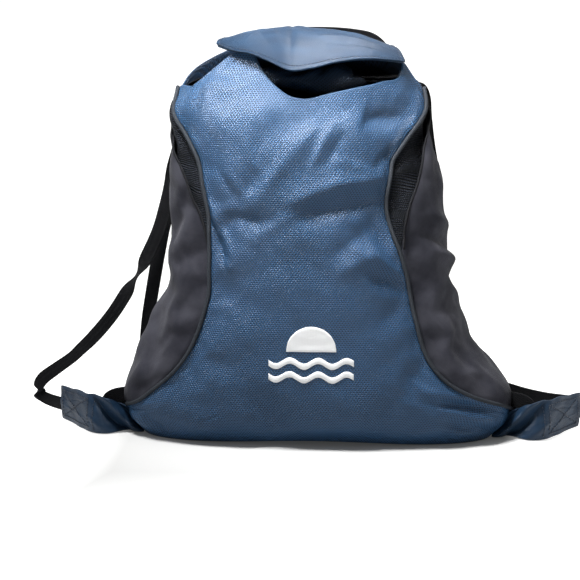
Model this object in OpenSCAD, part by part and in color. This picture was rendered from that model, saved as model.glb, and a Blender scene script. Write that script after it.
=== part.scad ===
// Drawstring backpack, standing stuffed: an hourglass front between two piped
// side panels with slip pockets, a flap over the gathered mouth, and two flat
// drawcords that run from the mouth down to the bottom corner tabs.
// Millimetres. +X is the bag's width, -Y its front, +Z up; z = 0 is the table.

/* [Bag] */
// Half depth of the stuffed bag where it is fullest
bag_half_depth = 63; // [58:1:66]
// Thickness of the body fabric with its lining
fabric = 1.2; // [1:0.1:1.6]
// Clear gap between two sewn edges
seam_gap = 0.6; // [0.4:0.1:1]
// Depth of each side pocket at its fullest
pocket_depth = 11; // [9:0.5:13]

/* [Trim] */
// Diameter of the grey piping cord
piping_d = 3.4; // [3:0.1:4]
// Diameter of the binding along a pocket's opening edge
binding_d = 2.4; // [2:0.1:3]
// Thickness of the raised mark on the front
emblem_t = 0.6; // [0.4:0.1:1]

/* [Drawcords] */
// Width of the flat drawcord webbing
cord_w = 12; // [11:0.5:12]
// Thickness of the webbing inside the mouth's casings
cord_t = 1.6; // [1.2:0.1:1.8]
// Thickness of the free strands
strand_t = 2.4; // [2:0.1:2.6]
// How far each drawcord can be pulled through the casings
cord_pull = 12; // [8:1:12]

/* [Corner tabs] */
// Height of a corner tab, which stands on its edge
tab_h = 34; // [30:1:36]
// Thickness of the tab's face and of its backing
tab_t = 1.6; // [1.2:0.1:2]

/* [Haul loop] */
// Thickness of the haul loop's webbing
haul_t = 2; // [1.6:0.1:2.4]
// Width of the haul loop's webbing
haul_w = 11; // [9:0.5:12]

/* [Hidden] */

LEFT = -1;
RIGHT = 1;

// The body's outline at each height: [z, left edge], [z, right edge]
LEFT_EDGE = [
    [0, -150], [12, -160], [25, -163], [40, -159], [60, -153], [80, -147],
    [100, -140], [120, -135], [160, -131], [220, -129], [260, -127],
    [280, -124], [300, -112], [312, -96], [320, -83], [332, -76]
];
RIGHT_EDGE = [
    [0, 150], [12, 160], [25, 165], [40, 163], [60, 150], [80, 138],
    [100, 128], [120, 118], [140, 114], [160, 112], [200, 105], [240, 100],
    [260, 95], [280, 92], [300, 83], [312, 77], [320, 73], [332, 68]
];
// Share of bag_half_depth in front of and behind the middle plane
FRONT_DEPTH = [
    [0, 0.78], [15, 0.94], [40, 1], [100, 1], [150, 0.97], [200, 0.93],
    [240, 0.87], [270, 0.79], [285, 0.71], [300, 0.6], [315, 0.48], [332, 0.42]
];
BACK_DEPTH = [
    [0, 0.78], [15, 0.94], [40, 1], [100, 0.98], [150, 0.92], [200, 0.83],
    [240, 0.75], [270, 0.69], [300, 0.6], [315, 0.5], [332, 0.4]
];
// Squareness of the body's section: 2 is an ellipse
SQUARENESS = [[0, 2.8], [60, 2.6], [150, 2.5], [250, 2.3], [332, 2]];

// Seam places are given as a reach: 0 is the middle of the front, 1 the side,
// 2 the middle of the back.
PIPING_LEFT = [
    [24, 1], [30, 0.93], [43, 0.845], [60, 0.75], [80, 0.685], [100, 0.66],
    [130, 0.647], [173, 0.667], [203, 0.68], [223, 0.706], [241, 0.745],
    [254, 0.812], [266, 0.894], [280, 0.965], [296, 1]
];
PIPING_RIGHT = [
    [24, 1], [32, 0.95], [40, 0.84], [50, 0.75], [66, 0.69], [85, 0.667],
    [105, 0.675], [128, 0.684], [143, 0.67], [155, 0.645], [178, 0.604],
    [204, 0.596], [224, 0.62], [242, 0.684], [259, 0.82], [273, 0.93],
    [286, 0.98], [296, 1]
];
POCKET_LEFT = [
    [160, 0.66], [175, 0.677], [189, 0.706], [202, 0.757], [222, 0.82],
    [240, 0.894], [257, 0.977], [268, 1.06], [282, 1.18]
];
POCKET_RIGHT = [
    [155, 0.645], [166, 0.655], [181, 0.681], [200, 0.726], [220, 0.802],
    [240, 0.86], [252, 0.92], [260, 0.963], [269, 1.03], [282, 1.18]
];
BACK_SEAM = [
    [24, 1], [30, 1.1], [45, 1.25], [80, 1.38], [200, 1.38], [260, 1.3],
    [285, 1.16], [296, 1]
];
// Height of the mouth's rim along each panel, from its middle to its seam.
// The low ends are the notches that the drawcords leave by.
FRONT_RIM = [
    [0, 288], [0.35, 292], [0.55, 306], [0.66, 314], [0.73, 307], [0.79, 300],
    [1, 297]
];
BACK_RIM = [[0, 328.8], [0.42, 328], [0.52, 319], [0.6, 306], [0.65, 299], [1, 297]];

// Side panels and linings, low and high ends
SIDE_LOW = 27;
SIDE_HIGH = 281;
LINING_LOW = 60;
LINING_HIGH = 292;

// Mouth casings and the drawcords inside them
casing_x0 = -50;
casing_x1 = 36;
casing_y = 18;
casing_w = 17;
casing_wall = 1.5;
cord_z = [304.5, 301.5];
leg_out = 8;
strand_gap = 0.6;

// Flap
flap_t = 1;
flap_hinge_y = 26;
flap_hinge_z = 332;
flap_hinge_x = [-62, 55];
flap_front_x = [-83, 71];
FLAP_FRONT_Y = [[-1, -15], [-0.7, -32], [-0.2, -50], [0.4, -38], [1, -20]];
FLAP_FRONT_Z = [[-1, 329], [-0.7, 322], [-0.2, 311], [0.4, 314], [1, 320]];
FLAP_CROWN = [[-1, 3], [-0.6, 14], [0, 19], [0.6, 16], [1, 5]];

// Haul loop, a flat arch behind the flap
haul_x = 3;
haul_half = 58;
haul_y = 38;
haul_z = 306;
haul_rise = 36;

// Corner tab: plan view of its face, drawn for the right side
tab_path = [[167, -18], [182, -26], [193, -24], [205, -11], [217, 5], [228, 18]];

// Drawcord routes: points along each free strand, from the mouth to its tab
STRAND_LEFT_A = [
    [-65, -18, 304.5], [-74, -15.5, 304.5], [-87, -10, 304.5],
    [-99, -3.5, 304.2], [-109.5, 4, 302.2], [-117, 13.5, 293.5],
    [-119.5, 22, 279], [-121, 29, 260], [-125, 35, 238], [-130, 39, 213],
    [-136, 42, 188], [-142, 42, 168], [-151, 41, 148], [-162, 40, 127],
    [-172, 39, 111], [-183, 38.5, 94], [-194, 38, 80], [-205, 37, 68],
    [-214, 36, 59.5], [-222, 35, 52], [-236, 34, 42], [-249, 34, 32],
    [-254, 36, 22], [-250, 37, 15], [-241, 31, 13], [-231, 21.5, 13]
];
STRAND_LEFT_B = [
    [-65, 18, 304.5], [-74, 15, 304.5], [-85, 11.5, 304.5], [-95, 12, 304],
    [-103.5, 17, 301.6], [-109, 26, 292.5], [-111, 35, 278], [-113, 44, 260],
    [-116, 52, 238], [-122, 57, 213], [-131, 59, 190], [-139, 59, 172],
    [-144.5, 58.5, 147], [-148.5, 58, 126], [-152.5, 58, 104],
    [-156, 58, 84], [-158, 57, 66], [-159, 55, 48], [-161, 49, 34],
    [-166, 39, 24], [-173, 26, 17], [-181, 9, 14], [-189, -5, 13.5],
    [-196, -13, 13]
];
STRAND_RIGHT_A = [
    [51, -18, 301.5], [58, -15.5, 301.5], [68, -9, 301.5], [76, -2, 301.3],
    [83.5, 6, 299.8], [90, 16, 291], [92, 26, 276], [94, 34, 258],
    [96, 42, 236], [98, 49, 208], [101, 55, 178], [104, 59, 146],
    [108, 61, 112], [114, 62, 80], [124, 62, 54], [140, 62, 36],
    [160, 61, 25], [182, 59, 18], [204, 56, 14], [226, 52, 12.5],
    [242, 45, 12], [245, 36, 13], [240, 29, 13], [231, 21.5, 13]
];
STRAND_RIGHT_B = [
    [51, 18, 301.5], [58, 14.5, 301.5], [66, 12.5, 301.5], [73.5, 16.5, 301],
    [78.5, 25.5, 292], [80.5, 35, 277], [82, 44, 259], [83, 52, 236],
    [84, 59, 206], [86, 64, 174], [88, 67, 142], [91, 69, 110], [97, 69, 80],
    [106, 67, 54], [120, 61, 34], [138, 50, 21], [156, 37, 15],
    [172, 24, 13.5], [184, 9, 13], [191, -5, 13], [196, -13, 13]
];

$fn = 32;

// ---- The body's surface ----------------------------------------------------

function left_edge(z) = lookup(z, LEFT_EDGE);
function right_edge(z) = lookup(z, RIGHT_EDGE);
function middle_x(z) = (left_edge(z) + right_edge(z)) / 2;
function half_width(z) = (right_edge(z) - left_edge(z)) / 2;
function front_depth(z) = bag_half_depth * lookup(z, FRONT_DEPTH);
function back_depth(z) = bag_half_depth * lookup(z, BACK_DEPTH);

function signed_power(v, p) = sign(v) * pow(abs(v), p);

// The point at an angle from the front (positive towards +X), out by `out`
function body_point(angle, z, out = 0) =
    let (
        power = 2 / lookup(z, SQUARENESS),
        depth = cos(angle) > 0 ? front_depth(z) : back_depth(z)
    )
    [
        middle_x(z) + (half_width(z) + out) * signed_power(sin(angle), power),
        -(depth + out) * signed_power(cos(angle), power),
        z
    ];

// The angle of a seam from its reach
function seam_angle(reach, z) =
    reach <= 1 ? asin(pow(reach, lookup(z, SQUARENESS) / 2)) : 90 * reach;

function piping_angle(side, z) =
    seam_angle(lookup(z, side == LEFT ? PIPING_LEFT : PIPING_RIGHT), z);
function pocket_angle(side, z) =
    let (edge = side == LEFT ? POCKET_LEFT : POCKET_RIGHT)
    z < edge[0][0] ? piping_angle(side, z)
        : max(piping_angle(side, z), seam_angle(lookup(z, edge), z));
function back_seam_angle(z) = seam_angle(lookup(z, BACK_SEAM), z);

// Half of the seam gap as an angle
function gap_angle(z) = seam_gap / 2 / half_width(z) * 180 / PI * 1.6;

// ---- Solids from point grids -----------------------------------------------

// A closed thin solid between two grids of rows x columns points
module sheet_solid(outer, inner) {
    rows = len(outer);
    cols = len(outer[0]);
    function at(layer, i, j) = (layer * rows + i) * cols + j;
    points = [
        for (grid = [outer, inner]) for (row = grid) for (p = row) p
    ];
    faces = [
        for (i = [0:rows - 2], j = [0:cols - 2], t = [0, 1])
            t == 0 ? [at(0, i, j), at(0, i + 1, j), at(0, i + 1, j + 1)]
                   : [at(0, i, j), at(0, i + 1, j + 1), at(0, i, j + 1)],
        for (i = [0:rows - 2], j = [0:cols - 2], t = [0, 1])
            t == 0 ? [at(1, i, j), at(1, i + 1, j + 1), at(1, i + 1, j)]
                   : [at(1, i, j), at(1, i, j + 1), at(1, i + 1, j + 1)],
        for (j = [0:cols - 2], t = [0, 1])
            t == 0 ? [at(0, 0, j), at(0, 0, j + 1), at(1, 0, j + 1)]
                   : [at(0, 0, j), at(1, 0, j + 1), at(1, 0, j)],
        for (j = [0:cols - 2], t = [0, 1])
            let (e = rows - 1)
            t == 0 ? [at(0, e, j), at(1, e, j + 1), at(0, e, j + 1)]
                   : [at(0, e, j), at(1, e, j), at(1, e, j + 1)],
        for (i = [0:rows - 2], t = [0, 1])
            t == 0 ? [at(0, i, 0), at(1, i + 1, 0), at(0, i + 1, 0)]
                   : [at(0, i, 0), at(1, i, 0), at(1, i + 1, 0)],
        for (i = [0:rows - 2], t = [0, 1])
            let (e = cols - 1)
            t == 0 ? [at(0, i, e), at(0, i + 1, e), at(1, i + 1, e)]
                   : [at(0, i, e), at(1, i + 1, e), at(1, i, e)]
    ];
    polyhedron(points, faces, convexity = 6);
}

// A tube through a list of rings, each ring the same count of points
module ring_solid(rings) {
    n = len(rings[0]);
    last = len(rings) - 1;
    faces = [
        for (i = [0:last - 1], j = [0:n - 1], t = [0, 1])
            let (k = (j + 1) % n)
            t == 0 ? [i * n + j, i * n + k, (i + 1) * n + k]
                   : [i * n + j, (i + 1) * n + k, (i + 1) * n + j],
        [for (j = [n - 1:-1:0]) j],
        [for (j = [0:n - 1]) last * n + j]
    ];
    polyhedron([for (ring = rings) for (p = ring) p], faces, convexity = 8);
}

function unit(v) = v / norm(v);
function path_direction(path, i) =
    unit(path[min(i + 1, len(path) - 1)] - path[max(i - 1, 0)]);

// Rings of a flat or round section along a path. `normals` gives, for each
// point, the direction in which the section is `thick`.
function section_rings(path, normals, wide, thick, sides) = [
    for (i = [0:len(path) - 1])
        let (
            along = path_direction(path, i),
            across = unit(cross(along, normals[i])),
            out = cross(across, along)
        )
        [
            for (k = [0:sides - 1])
                let (a = 360 * (k + 0.5) / sides, corner = cos(180 / sides))
                path[i]
                    + across * (wide / 2 * cos(a) / corner)
                    + out * (thick / 2 * sin(a) / corner)
        ]
];

// ---- Body panels -----------------------------------------------------------

// The front and back panels: u runs across from -1 to 1, and each column rises
// to the rim's height there
module front_panel() {
    rows = 22;
    cols = 20;
    function p(i, j, out) =
        let (
            u = -1 + 2 * j / cols,
            z = lookup(abs(u), FRONT_RIM) * i / rows,
            side = u < 0 ? LEFT : RIGHT,
            edge = z < 24 || z > 296 ? 90 : piping_angle(side, z)
        )
        body_point(u * (edge - gap_angle(z)), z, out);
    color("#27406b") sheet_solid(
        [for (i = [0:rows]) [for (j = [0:cols]) p(i, j, 0)]],
        [for (i = [0:rows]) [for (j = [0:cols]) p(i, j, -fabric)]]
    );
}

module back_panel() {
    rows = 22;
    cols = 20;
    function p(i, j, out) =
        let (
            u = -1 + 2 * j / cols,
            z = lookup(abs(u), BACK_RIM) * i / rows,
            edge = z < 24 || z > 296 ? 90 : back_seam_angle(z)
        )
        body_point(180 + u * (180 - edge - gap_angle(z)), z, out);
    color("#1f3357") sheet_solid(
        [for (i = [0:rows]) [for (j = [0:cols]) p(i, j, 0)]],
        [for (i = [0:rows]) [for (j = [0:cols]) p(i, j, -fabric)]]
    );
}

module base_panel() {
    inset = fabric + seam_gap;
    color("#1f3357") linear_extrude(fabric) polygon([
        for (a = [0:7.5:359])
            let (p = body_point(a, 0, -inset)) [p.x, p.y]
    ]);
}

// The charcoal outer wall of a side, up to the pocket's opening edge
module side_panel(side) {
    rows = 20;
    cols = 10;
    function p(i, j, out) =
        let (
            z = SIDE_LOW + (SIDE_HIGH - SIDE_LOW) * i / rows,
            from = pocket_angle(side, z) + gap_angle(z),
            to = back_seam_angle(z) - gap_angle(z),
            u = side == LEFT ? 1 - j / cols : j / cols
        )
        body_point(side * (from + (to - from) * u), z, out);
    color("#47484d") sheet_solid(
        [for (i = [0:rows]) [for (j = [0:cols]) p(i, j, 0)]],
        [for (i = [0:rows]) [for (j = [0:cols]) p(i, j, -fabric)]]
    );
}

// The black mesh inner wall of a pocket, sunk behind the outer wall
module pocket_lining(side) {
    rows = 16;
    cols = 8;
    mesh_t = 1;
    edge_depth = 2.2;
    function depth(t, u) =
        edge_depth + (pocket_depth - edge_depth) * sin(180 * u) * min(1, 4 * t, 4 * (1 - t));
    function p(i, j, out) =
        let (
            t = i / rows,
            z = LINING_LOW + (LINING_HIGH - LINING_LOW) * t,
            from = piping_angle(side, z) + gap_angle(z),
            to = back_seam_angle(z) - gap_angle(z),
            u = side == LEFT ? 1 - j / cols : j / cols
        )
        body_point(side * (from + (to - from) * u), z, out - depth(t, u));
    color("#17181b") sheet_solid(
        [for (i = [0:rows]) [for (j = [0:cols]) p(i, j, 0)]],
        [for (i = [0:rows]) [for (j = [0:cols]) p(i, j, -mesh_t)]]
    );
}

// A round trim cord along a seam, outside the body by `out`
module seam_cord(side, z0, z1, d, out, which) {
    rings = 30;
    function angle(z) =
        which == "piping" ? piping_angle(side, z) : pocket_angle(side, z);
    path = [
        for (i = [0:rings])
            let (z = z0 + (z1 - z0) * i / rings) body_point(side * angle(z), z, out)
    ];
    normals = [
        for (i = [0:rings])
            let (z = z0 + (z1 - z0) * i / rings, a = side * angle(z))
            unit(body_point(a, z, 10) - body_point(a, z, 0))
    ];
    ring_solid(section_rings(path, normals, d, d, 8));
}

module piping(side) {
    color("#6f7278") seam_cord(side, 25, 295, piping_d, piping_d / 2, "piping");
}

module pocket_binding(side) {
    color("#101114") seam_cord(side, 170, SIDE_HIGH - 2, binding_d, binding_d / 2, "pocket");
}

// ---- Mouth: casings, drawcord loops ---------------------------------------

module casing(face) {
    slot_w = casing_w - 2 * casing_wall;
    slot_h = cord_z[0] - cord_z[1] + cord_t + 2;
    length = casing_x1 - casing_x0;
    middle_z = (cord_z[0] + cord_z[1]) / 2;
    color("#1d3054")
    translate([(casing_x0 + casing_x1) / 2, face * casing_y, middle_z])
    difference() {
        cube([length, casing_w, slot_h + 2 * casing_wall], center = true);
        cube([length + 2, slot_w, slot_h], center = true);
    }
}

// One drawcord inside the mouth: two legs through the casings and the bend
// that joins them past the far end. `side` is where its free ends leave.
module drawcord_loop(side) {
    z = cord_z[side == LEFT ? 0 : 1];
    exit_x = side == LEFT ? casing_x0 - leg_out : casing_x1 + leg_out;
    bend_x = side == LEFT ? casing_x1 + cord_pull : casing_x0 - cord_pull;
    color("#0f1012") translate([0, 0, z - cord_t / 2]) {
        for (face = [-1, 1])
            translate([min(exit_x, bend_x), face * casing_y - cord_w / 2, 0])
                cube([abs(bend_x - exit_x), cord_w, cord_t]);
        translate([bend_x, 0, 0]) rotate([0, 0, side == LEFT ? -90 : 90])
            rotate_extrude(angle = 180, $fn = 64)
                translate([casing_y - cord_w / 2, 0]) square([cord_w, cord_t]);
    }
}

// ---- Free strands ----------------------------------------------------------

// Smooth curve through hand-set points, `steps` pieces to each span
function smooth_path(pts, steps) = [
    for (i = [0:len(pts) - 2], k = [0:steps - 1])
        let (
            t = k / steps,
            a = pts[max(i - 1, 0)], b = pts[i],
            c = pts[i + 1], d = pts[min(i + 2, len(pts) - 1)]
        )
        0.5 * (2 * b + (c - a) * t + (2 * a - 5 * b + 4 * c - d) * t * t
            + (3 * b - a - 3 * c + d) * t * t * t),
    pts[len(pts) - 1]
];

// The webbing lies flat over the rim, then turns its face away from the bag
module strand(points, start) {
    path = smooth_path(concat([start], points), 2);
    axis_y = 8;
    normals = [
        for (i = [0:len(path) - 1])
            let (
                p = path[i],
                away = unit([p.x / 2, p.y - axis_y, 0.01]),
                up = min(1, max(0, (p.z - 270) / 30))
            )
            unit(away * (1 - up) + [0, 0, 1] * up)
    ];
    color("#0f1012")
        ring_solid(section_rings(path, normals, cord_w, strand_t, 8));
}

function strand_start(side, face) = [
    side == LEFT ? casing_x0 - leg_out - strand_gap : casing_x1 + leg_out + strand_gap,
    face * casing_y,
    cord_z[side == LEFT ? 0 : 1]
];

// ---- Flap and haul loop ----------------------------------------------------

function flap_point(u, v, drop) =
    let (
        hx = flap_hinge_x[0] + (flap_hinge_x[1] - flap_hinge_x[0]) * (u + 1) / 2,
        fx = flap_front_x[0] + (flap_front_x[1] - flap_front_x[0]) * (u + 1) / 2,
        fy = lookup(u, FLAP_FRONT_Y),
        fz = lookup(u, FLAP_FRONT_Z)
    )
    [
        hx + (fx - hx) * sin(90 * v),
        flap_hinge_y + (fy - flap_hinge_y) * v,
        flap_hinge_z + (fz - flap_hinge_z) * v
            + 4 * lookup(u, FLAP_CROWN) * v * (1 - v) - drop
    ];

module flap_layer(top, t) {
    rows = 12;
    cols = 16;
    sheet_solid(
        [for (i = [0:rows]) [for (j = [0:cols])
            flap_point(-1 + 2 * j / cols, 1 - i / rows, top)]],
        [for (i = [0:rows]) [for (j = [0:cols])
            flap_point(-1 + 2 * j / cols, 1 - i / rows, top + t)]]
    );
}

module flap() {
    color("#3d5680") flap_layer(0, flap_t);
}

module flap_facing() {
    layer_gap = 0.3;
    color("#2c4269") flap_layer(flap_t + layer_gap, flap_t);
}

module haul_loop() {
    corner = 10;
    color("#0f1012")
    translate([haul_x, haul_y + haul_t / 2, haul_z]) rotate([90, 0, 0])
    linear_extrude(haul_t) difference() {
        offset(r = corner) offset(delta = -corner)
            translate([-haul_half, -corner]) square([2 * haul_half, haul_rise + corner]);
        offset(r = corner / 2) offset(delta = -corner / 2)
            translate([-haul_half + haul_w, -2 * corner])
                square([2 * (haul_half - haul_w), haul_rise - haul_w + 2 * corner]);
        translate([-haul_half - 1, -2 * corner]) square([2 * haul_half + 2, 2 * corner]);
    }
}

// ---- Corner tabs -----------------------------------------------------------

// A band along the tab's plan path, from `near` to `near + t` behind its face
module tab_band(side, near, t, low, high, skip) {
    count = len(tab_path);
    function normal(i) =
        let (d = unit(tab_path[min(i + 1, count - 1)] - tab_path[max(i - 1, 0)]))
        [-d.y, d.x];
    path = [for (i = [skip:count - 1]) i];
    scale([side, 1, 1])
    translate([0, 0, low]) linear_extrude(high - low) polygon(concat(
        [for (i = path) tab_path[i] + normal(i) * near],
        [for (k = [len(path) - 1:-1:0]) tab_path[path[k]] + normal(path[k]) * (near + t)]
    ));
}

module corner_tab(side) {
    color("#2f4874") tab_band(side, 0, tab_t, 0, tab_h, 0);
}

module tab_backing(side) {
    layer_gap = 0.3;
    margin = 1.5;
    color("#101114") tab_band(side, tab_t + layer_gap, tab_t, 0, tab_h - margin, 1);
}

// ---- Mark on the front -----------------------------------------------------

emblem_x = -3;
emblem_z = 84;
emblem_half = 34;

function front_y(x, z, out) =
    let (n = lookup(z, SQUARENESS), s = abs(x - middle_x(z)) / half_width(z))
    -(front_depth(z) * pow(1 - pow(s, n), 1 / n) + out);

// A raised strip of the mark between two heights over x
module emblem_strip(half, low, high) {
    cols = 24;
    lift = 0.4;
    function x(j) = emblem_x - half + 2 * half * j / cols;
    function row(out) = [
        for (i = [0, 1, 2]) [
            for (j = [0:cols])
                let (
                    w = (x(j) - emblem_x) / half,
                    z = emblem_z + low(w) + (high(w) - low(w)) * i / 2
                )
                [x(j), front_y(x(j), z, out), z]
        ]
    ];
    sheet_solid(row(lift + emblem_t), row(lift));
}

// A half sun over two waves
module emblem() {
    sun_r = 20;
    wave = function (w) 2.4 * sin(540 * w);
    color("#eef0f2") {
        emblem_strip(sun_r, function (w) 2, function (w) 2.6 + sun_r * sqrt(max(0, 1 - w * w)));
        emblem_strip(emblem_half, function (w) wave(w) - 10, function (w) wave(w) - 5);
        emblem_strip(emblem_half, function (w) wave(w) - 21, function (w) wave(w) - 16);
    }
}

front_panel();
back_panel();
base_panel();
side_panel(LEFT);  // side_panel_left
side_panel(RIGHT);  // side_panel_right
pocket_lining(LEFT);  // pocket_lining_left
pocket_lining(RIGHT);  // pocket_lining_right
pocket_binding(LEFT);  // pocket_binding_left
pocket_binding(RIGHT);  // pocket_binding_right
piping(LEFT);  // piping_left
piping(RIGHT);  // piping_right
casing(-1);  // casing_front
casing(1);  // casing_back
flap();
flap_facing();
haul_loop();
corner_tab(LEFT);  // corner_tab_left
corner_tab(RIGHT);  // corner_tab_right
tab_backing(LEFT);  // tab_backing_left
tab_backing(RIGHT);  // tab_backing_right
drawcord_loop(LEFT);  // drawcord_loop_left
drawcord_loop(RIGHT);  // drawcord_loop_right
strand(STRAND_LEFT_A, strand_start(LEFT, -1));  // strand_left_a
strand(STRAND_LEFT_B, strand_start(LEFT, 1));  // strand_left_b
strand(STRAND_RIGHT_A, strand_start(RIGHT, -1));  // strand_right_a
strand(STRAND_RIGHT_B, strand_start(RIGHT, 1));  // strand_right_b
emblem();
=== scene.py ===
"""A stuffed drawstring backpack, standing on a pale table.

The cloth body is one surface: a superellipse section that changes with height,
with folds and lip, inflated by one cloth simulation. Every panel,
seam cord and mark is then cut from that surface, so their edges meet.
Lengths in the tables are millimetres; MM turns them into Blender's metres.
"""
import math

import bmesh
import bpy
import numpy as np
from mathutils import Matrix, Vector


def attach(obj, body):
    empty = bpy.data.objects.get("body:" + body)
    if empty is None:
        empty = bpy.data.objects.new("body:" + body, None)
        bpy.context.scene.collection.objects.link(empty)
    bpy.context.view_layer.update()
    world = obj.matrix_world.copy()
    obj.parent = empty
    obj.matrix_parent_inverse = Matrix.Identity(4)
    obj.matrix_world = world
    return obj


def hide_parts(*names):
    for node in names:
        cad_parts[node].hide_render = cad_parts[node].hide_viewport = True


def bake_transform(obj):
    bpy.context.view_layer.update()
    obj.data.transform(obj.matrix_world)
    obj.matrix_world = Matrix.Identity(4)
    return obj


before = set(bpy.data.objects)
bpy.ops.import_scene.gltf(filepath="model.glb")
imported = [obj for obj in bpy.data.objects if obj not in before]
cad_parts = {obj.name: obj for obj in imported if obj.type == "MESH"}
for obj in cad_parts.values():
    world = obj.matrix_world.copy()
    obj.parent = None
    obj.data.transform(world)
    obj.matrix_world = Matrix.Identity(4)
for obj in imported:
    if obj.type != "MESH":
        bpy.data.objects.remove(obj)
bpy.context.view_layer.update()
MM = 0.001
LEFT, RIGHT = -1, 1
SIDE_NAME = {LEFT: "left", RIGHT: "right"}

# ---- Camera -----------------------------------------------------------------

CAMERA_AZIMUTH = 3.0
CAMERA_ELEVATION = 11.5
CAMERA_DISTANCE = 1.2
CAMERA_LENS = 87.0
CAMERA_AIM = Vector((-0.024, 0.0, 0.123))


def make_camera():
    azimuth, elevation = math.radians(CAMERA_AZIMUTH), math.radians(CAMERA_ELEVATION)
    back = Vector((
        math.sin(azimuth) * math.cos(elevation),
        -math.cos(azimuth) * math.cos(elevation),
        math.sin(elevation),
    ))
    data = bpy.data.cameras.new("camera")
    data.lens = CAMERA_LENS
    data.sensor_width = 36.0
    camera = bpy.data.objects.new("camera", data)
    camera.location = CAMERA_AIM + back * CAMERA_DISTANCE
    camera.rotation_euler = (-back).to_track_quat("-Z", "Y").to_euler()
    bpy.context.collection.objects.link(camera)
    bpy.context.scene.camera = camera


make_camera()

# ---- Small maths helpers ----------------------------------------------------


def smooth_table(x, table):
    """A smooth curve through the rows [x, value] of a table."""
    rows = np.array(table, float)
    xs, values = rows[:, 0], rows[:, 1]
    slopes = np.gradient(values, xs)
    x = np.clip(x, xs[0], xs[-1])
    i = np.clip(np.searchsorted(xs, x) - 1, 0, len(xs) - 2)
    h = xs[i + 1] - xs[i]
    t = (x - xs[i]) / h
    return (
        (2 * t**3 - 3 * t**2 + 1) * values[i]
        + (t**3 - 2 * t**2 + t) * h * slopes[i]
        + (3 * t**2 - 2 * t**3) * values[i + 1]
        + (t**3 - t**2) * h * slopes[i + 1]
    )


def smoothstep(low, high, x):
    t = np.clip((x - low) / (high - low), 0, 1)
    return t * t * (3 - 2 * t)


def signed_power(v, p):
    return np.sign(v) * np.abs(v) ** p


def unit(v):
    return v / np.maximum(np.linalg.norm(v, axis=-1, keepdims=True), 1e-9)


def ripples(x, y, wavelength, count, seed):
    """Soft random waves of about one wavelength, between about -1 and 1."""
    rng = np.random.default_rng(seed)
    total = np.zeros(np.broadcast(x, y).shape)
    for _ in range(count):
        angle = rng.uniform(0, math.pi)
        size = wavelength * rng.uniform(0.7, 1.5)
        phase = rng.uniform(0, 2 * math.pi)
        across = x * math.cos(angle) + y * math.sin(angle)
        total = total + np.sin(across * 2 * math.pi / size + phase)
    return total / math.sqrt(count)


def smooth_path(points, steps):
    """A smooth line through given points, in `steps` pieces a span."""
    p = np.array(points, float)
    out = []
    for i in range(len(p) - 1):
        a, b = p[max(i - 1, 0)], p[i]
        c, d = p[i + 1], p[min(i + 2, len(p) - 1)]
        for k in range(steps):
            t = k / steps
            out.append(0.5 * (
                2 * b + (c - a) * t + (2 * a - 5 * b + 4 * c - d) * t**2
                + (3 * b - a - 3 * c + d) * t**3
            ))
    out.append(p[-1])
    return np.array(out)


def running(points, axis=0):
    """Distances along lines of points, from the first point of each."""
    lengths = np.linalg.norm(np.diff(points, axis=axis), axis=-1)
    return np.insert(np.cumsum(lengths, axis=axis), 0, 0, axis=axis)


# ---- The body's surface -----------------------------------------------------

BAG_HALF_DEPTH = 63.0
LEFT_EDGE = [
    [0, -151], [12, -161], [25, -166], [40, -165], [56, -161], [70, -155],
    [84, -149], [103, -141], [120, -134], [150, -129], [180, -126.5],
    [220, -126.5], [260, -126], [272, -127], [280, -125.5], [286, -122.5],
    [292, -118.5], [300, -112.5], [308, -105], [316, -96], [324, -88], [332, -82],
]
RIGHT_EDGE = [
    [0, 150], [12, 160], [25, 165], [40, 163], [60, 150], [80, 138],
    [100, 128], [120, 118], [140, 114], [160, 112], [200, 105], [240, 100],
    [260, 95], [280, 92], [300, 83], [312, 77], [320, 73], [332, 68],
]
FRONT_DEPTH = [
    [0, 0.78], [15, 0.94], [40, 1], [100, 1], [150, 0.97], [200, 0.93],
    [240, 0.87], [270, 0.79], [285, 0.71], [300, 0.6], [315, 0.48], [332, 0.42],
]
BACK_DEPTH = [
    [0, 0.78], [15, 0.94], [40, 1], [100, 0.98], [150, 0.92], [200, 0.83],
    [240, 0.75], [270, 0.69], [300, 0.6], [315, 0.5], [332, 0.4],
]
SQUARENESS = [[0, 2.8], [60, 2.6], [150, 2.5], [250, 2.3], [332, 2]]

# Seams as a reach: 0 is the middle of the front, 1 the side, 2 the back's middle
PIPING = {
    LEFT: [
        [24, 1], [30, 0.93], [43, 0.845], [60, 0.75], [80, 0.685],
        [100, 0.66], [130, 0.647], [173, 0.667], [203, 0.68], [223, 0.706],
        [241, 0.745], [254, 0.805], [266, 0.875], [280, 0.938], [289, 0.965], [296, 1],
    ],
    RIGHT: [
        [24, 1], [32, 0.95], [40, 0.84], [50, 0.75], [66, 0.69], [85, 0.667],
        [105, 0.675], [128, 0.684], [143, 0.67], [155, 0.645], [178, 0.604],
        [204, 0.596], [224, 0.62], [242, 0.684], [259, 0.82], [273, 0.93],
        [286, 0.98], [296, 1],
    ],
}
POCKET_EDGE = {
    LEFT: [
        [160, 0.66], [175, 0.677], [189, 0.706], [202, 0.757], [222, 0.82],
        [240, 0.894], [257, 0.977], [268, 1.06], [282, 1.18],
    ],
    RIGHT: [
        [155, 0.645], [166, 0.655], [181, 0.681], [200, 0.726], [220, 0.802],
        [240, 0.86], [252, 0.92], [260, 0.963], [269, 1.03], [282, 1.18],
    ],
}
BACK_SEAM = [
    [24, 1], [30, 1.1], [45, 1.25], [80, 1.38], [200, 1.38], [260, 1.3],
    [285, 1.16], [296, 1],
]
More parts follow.
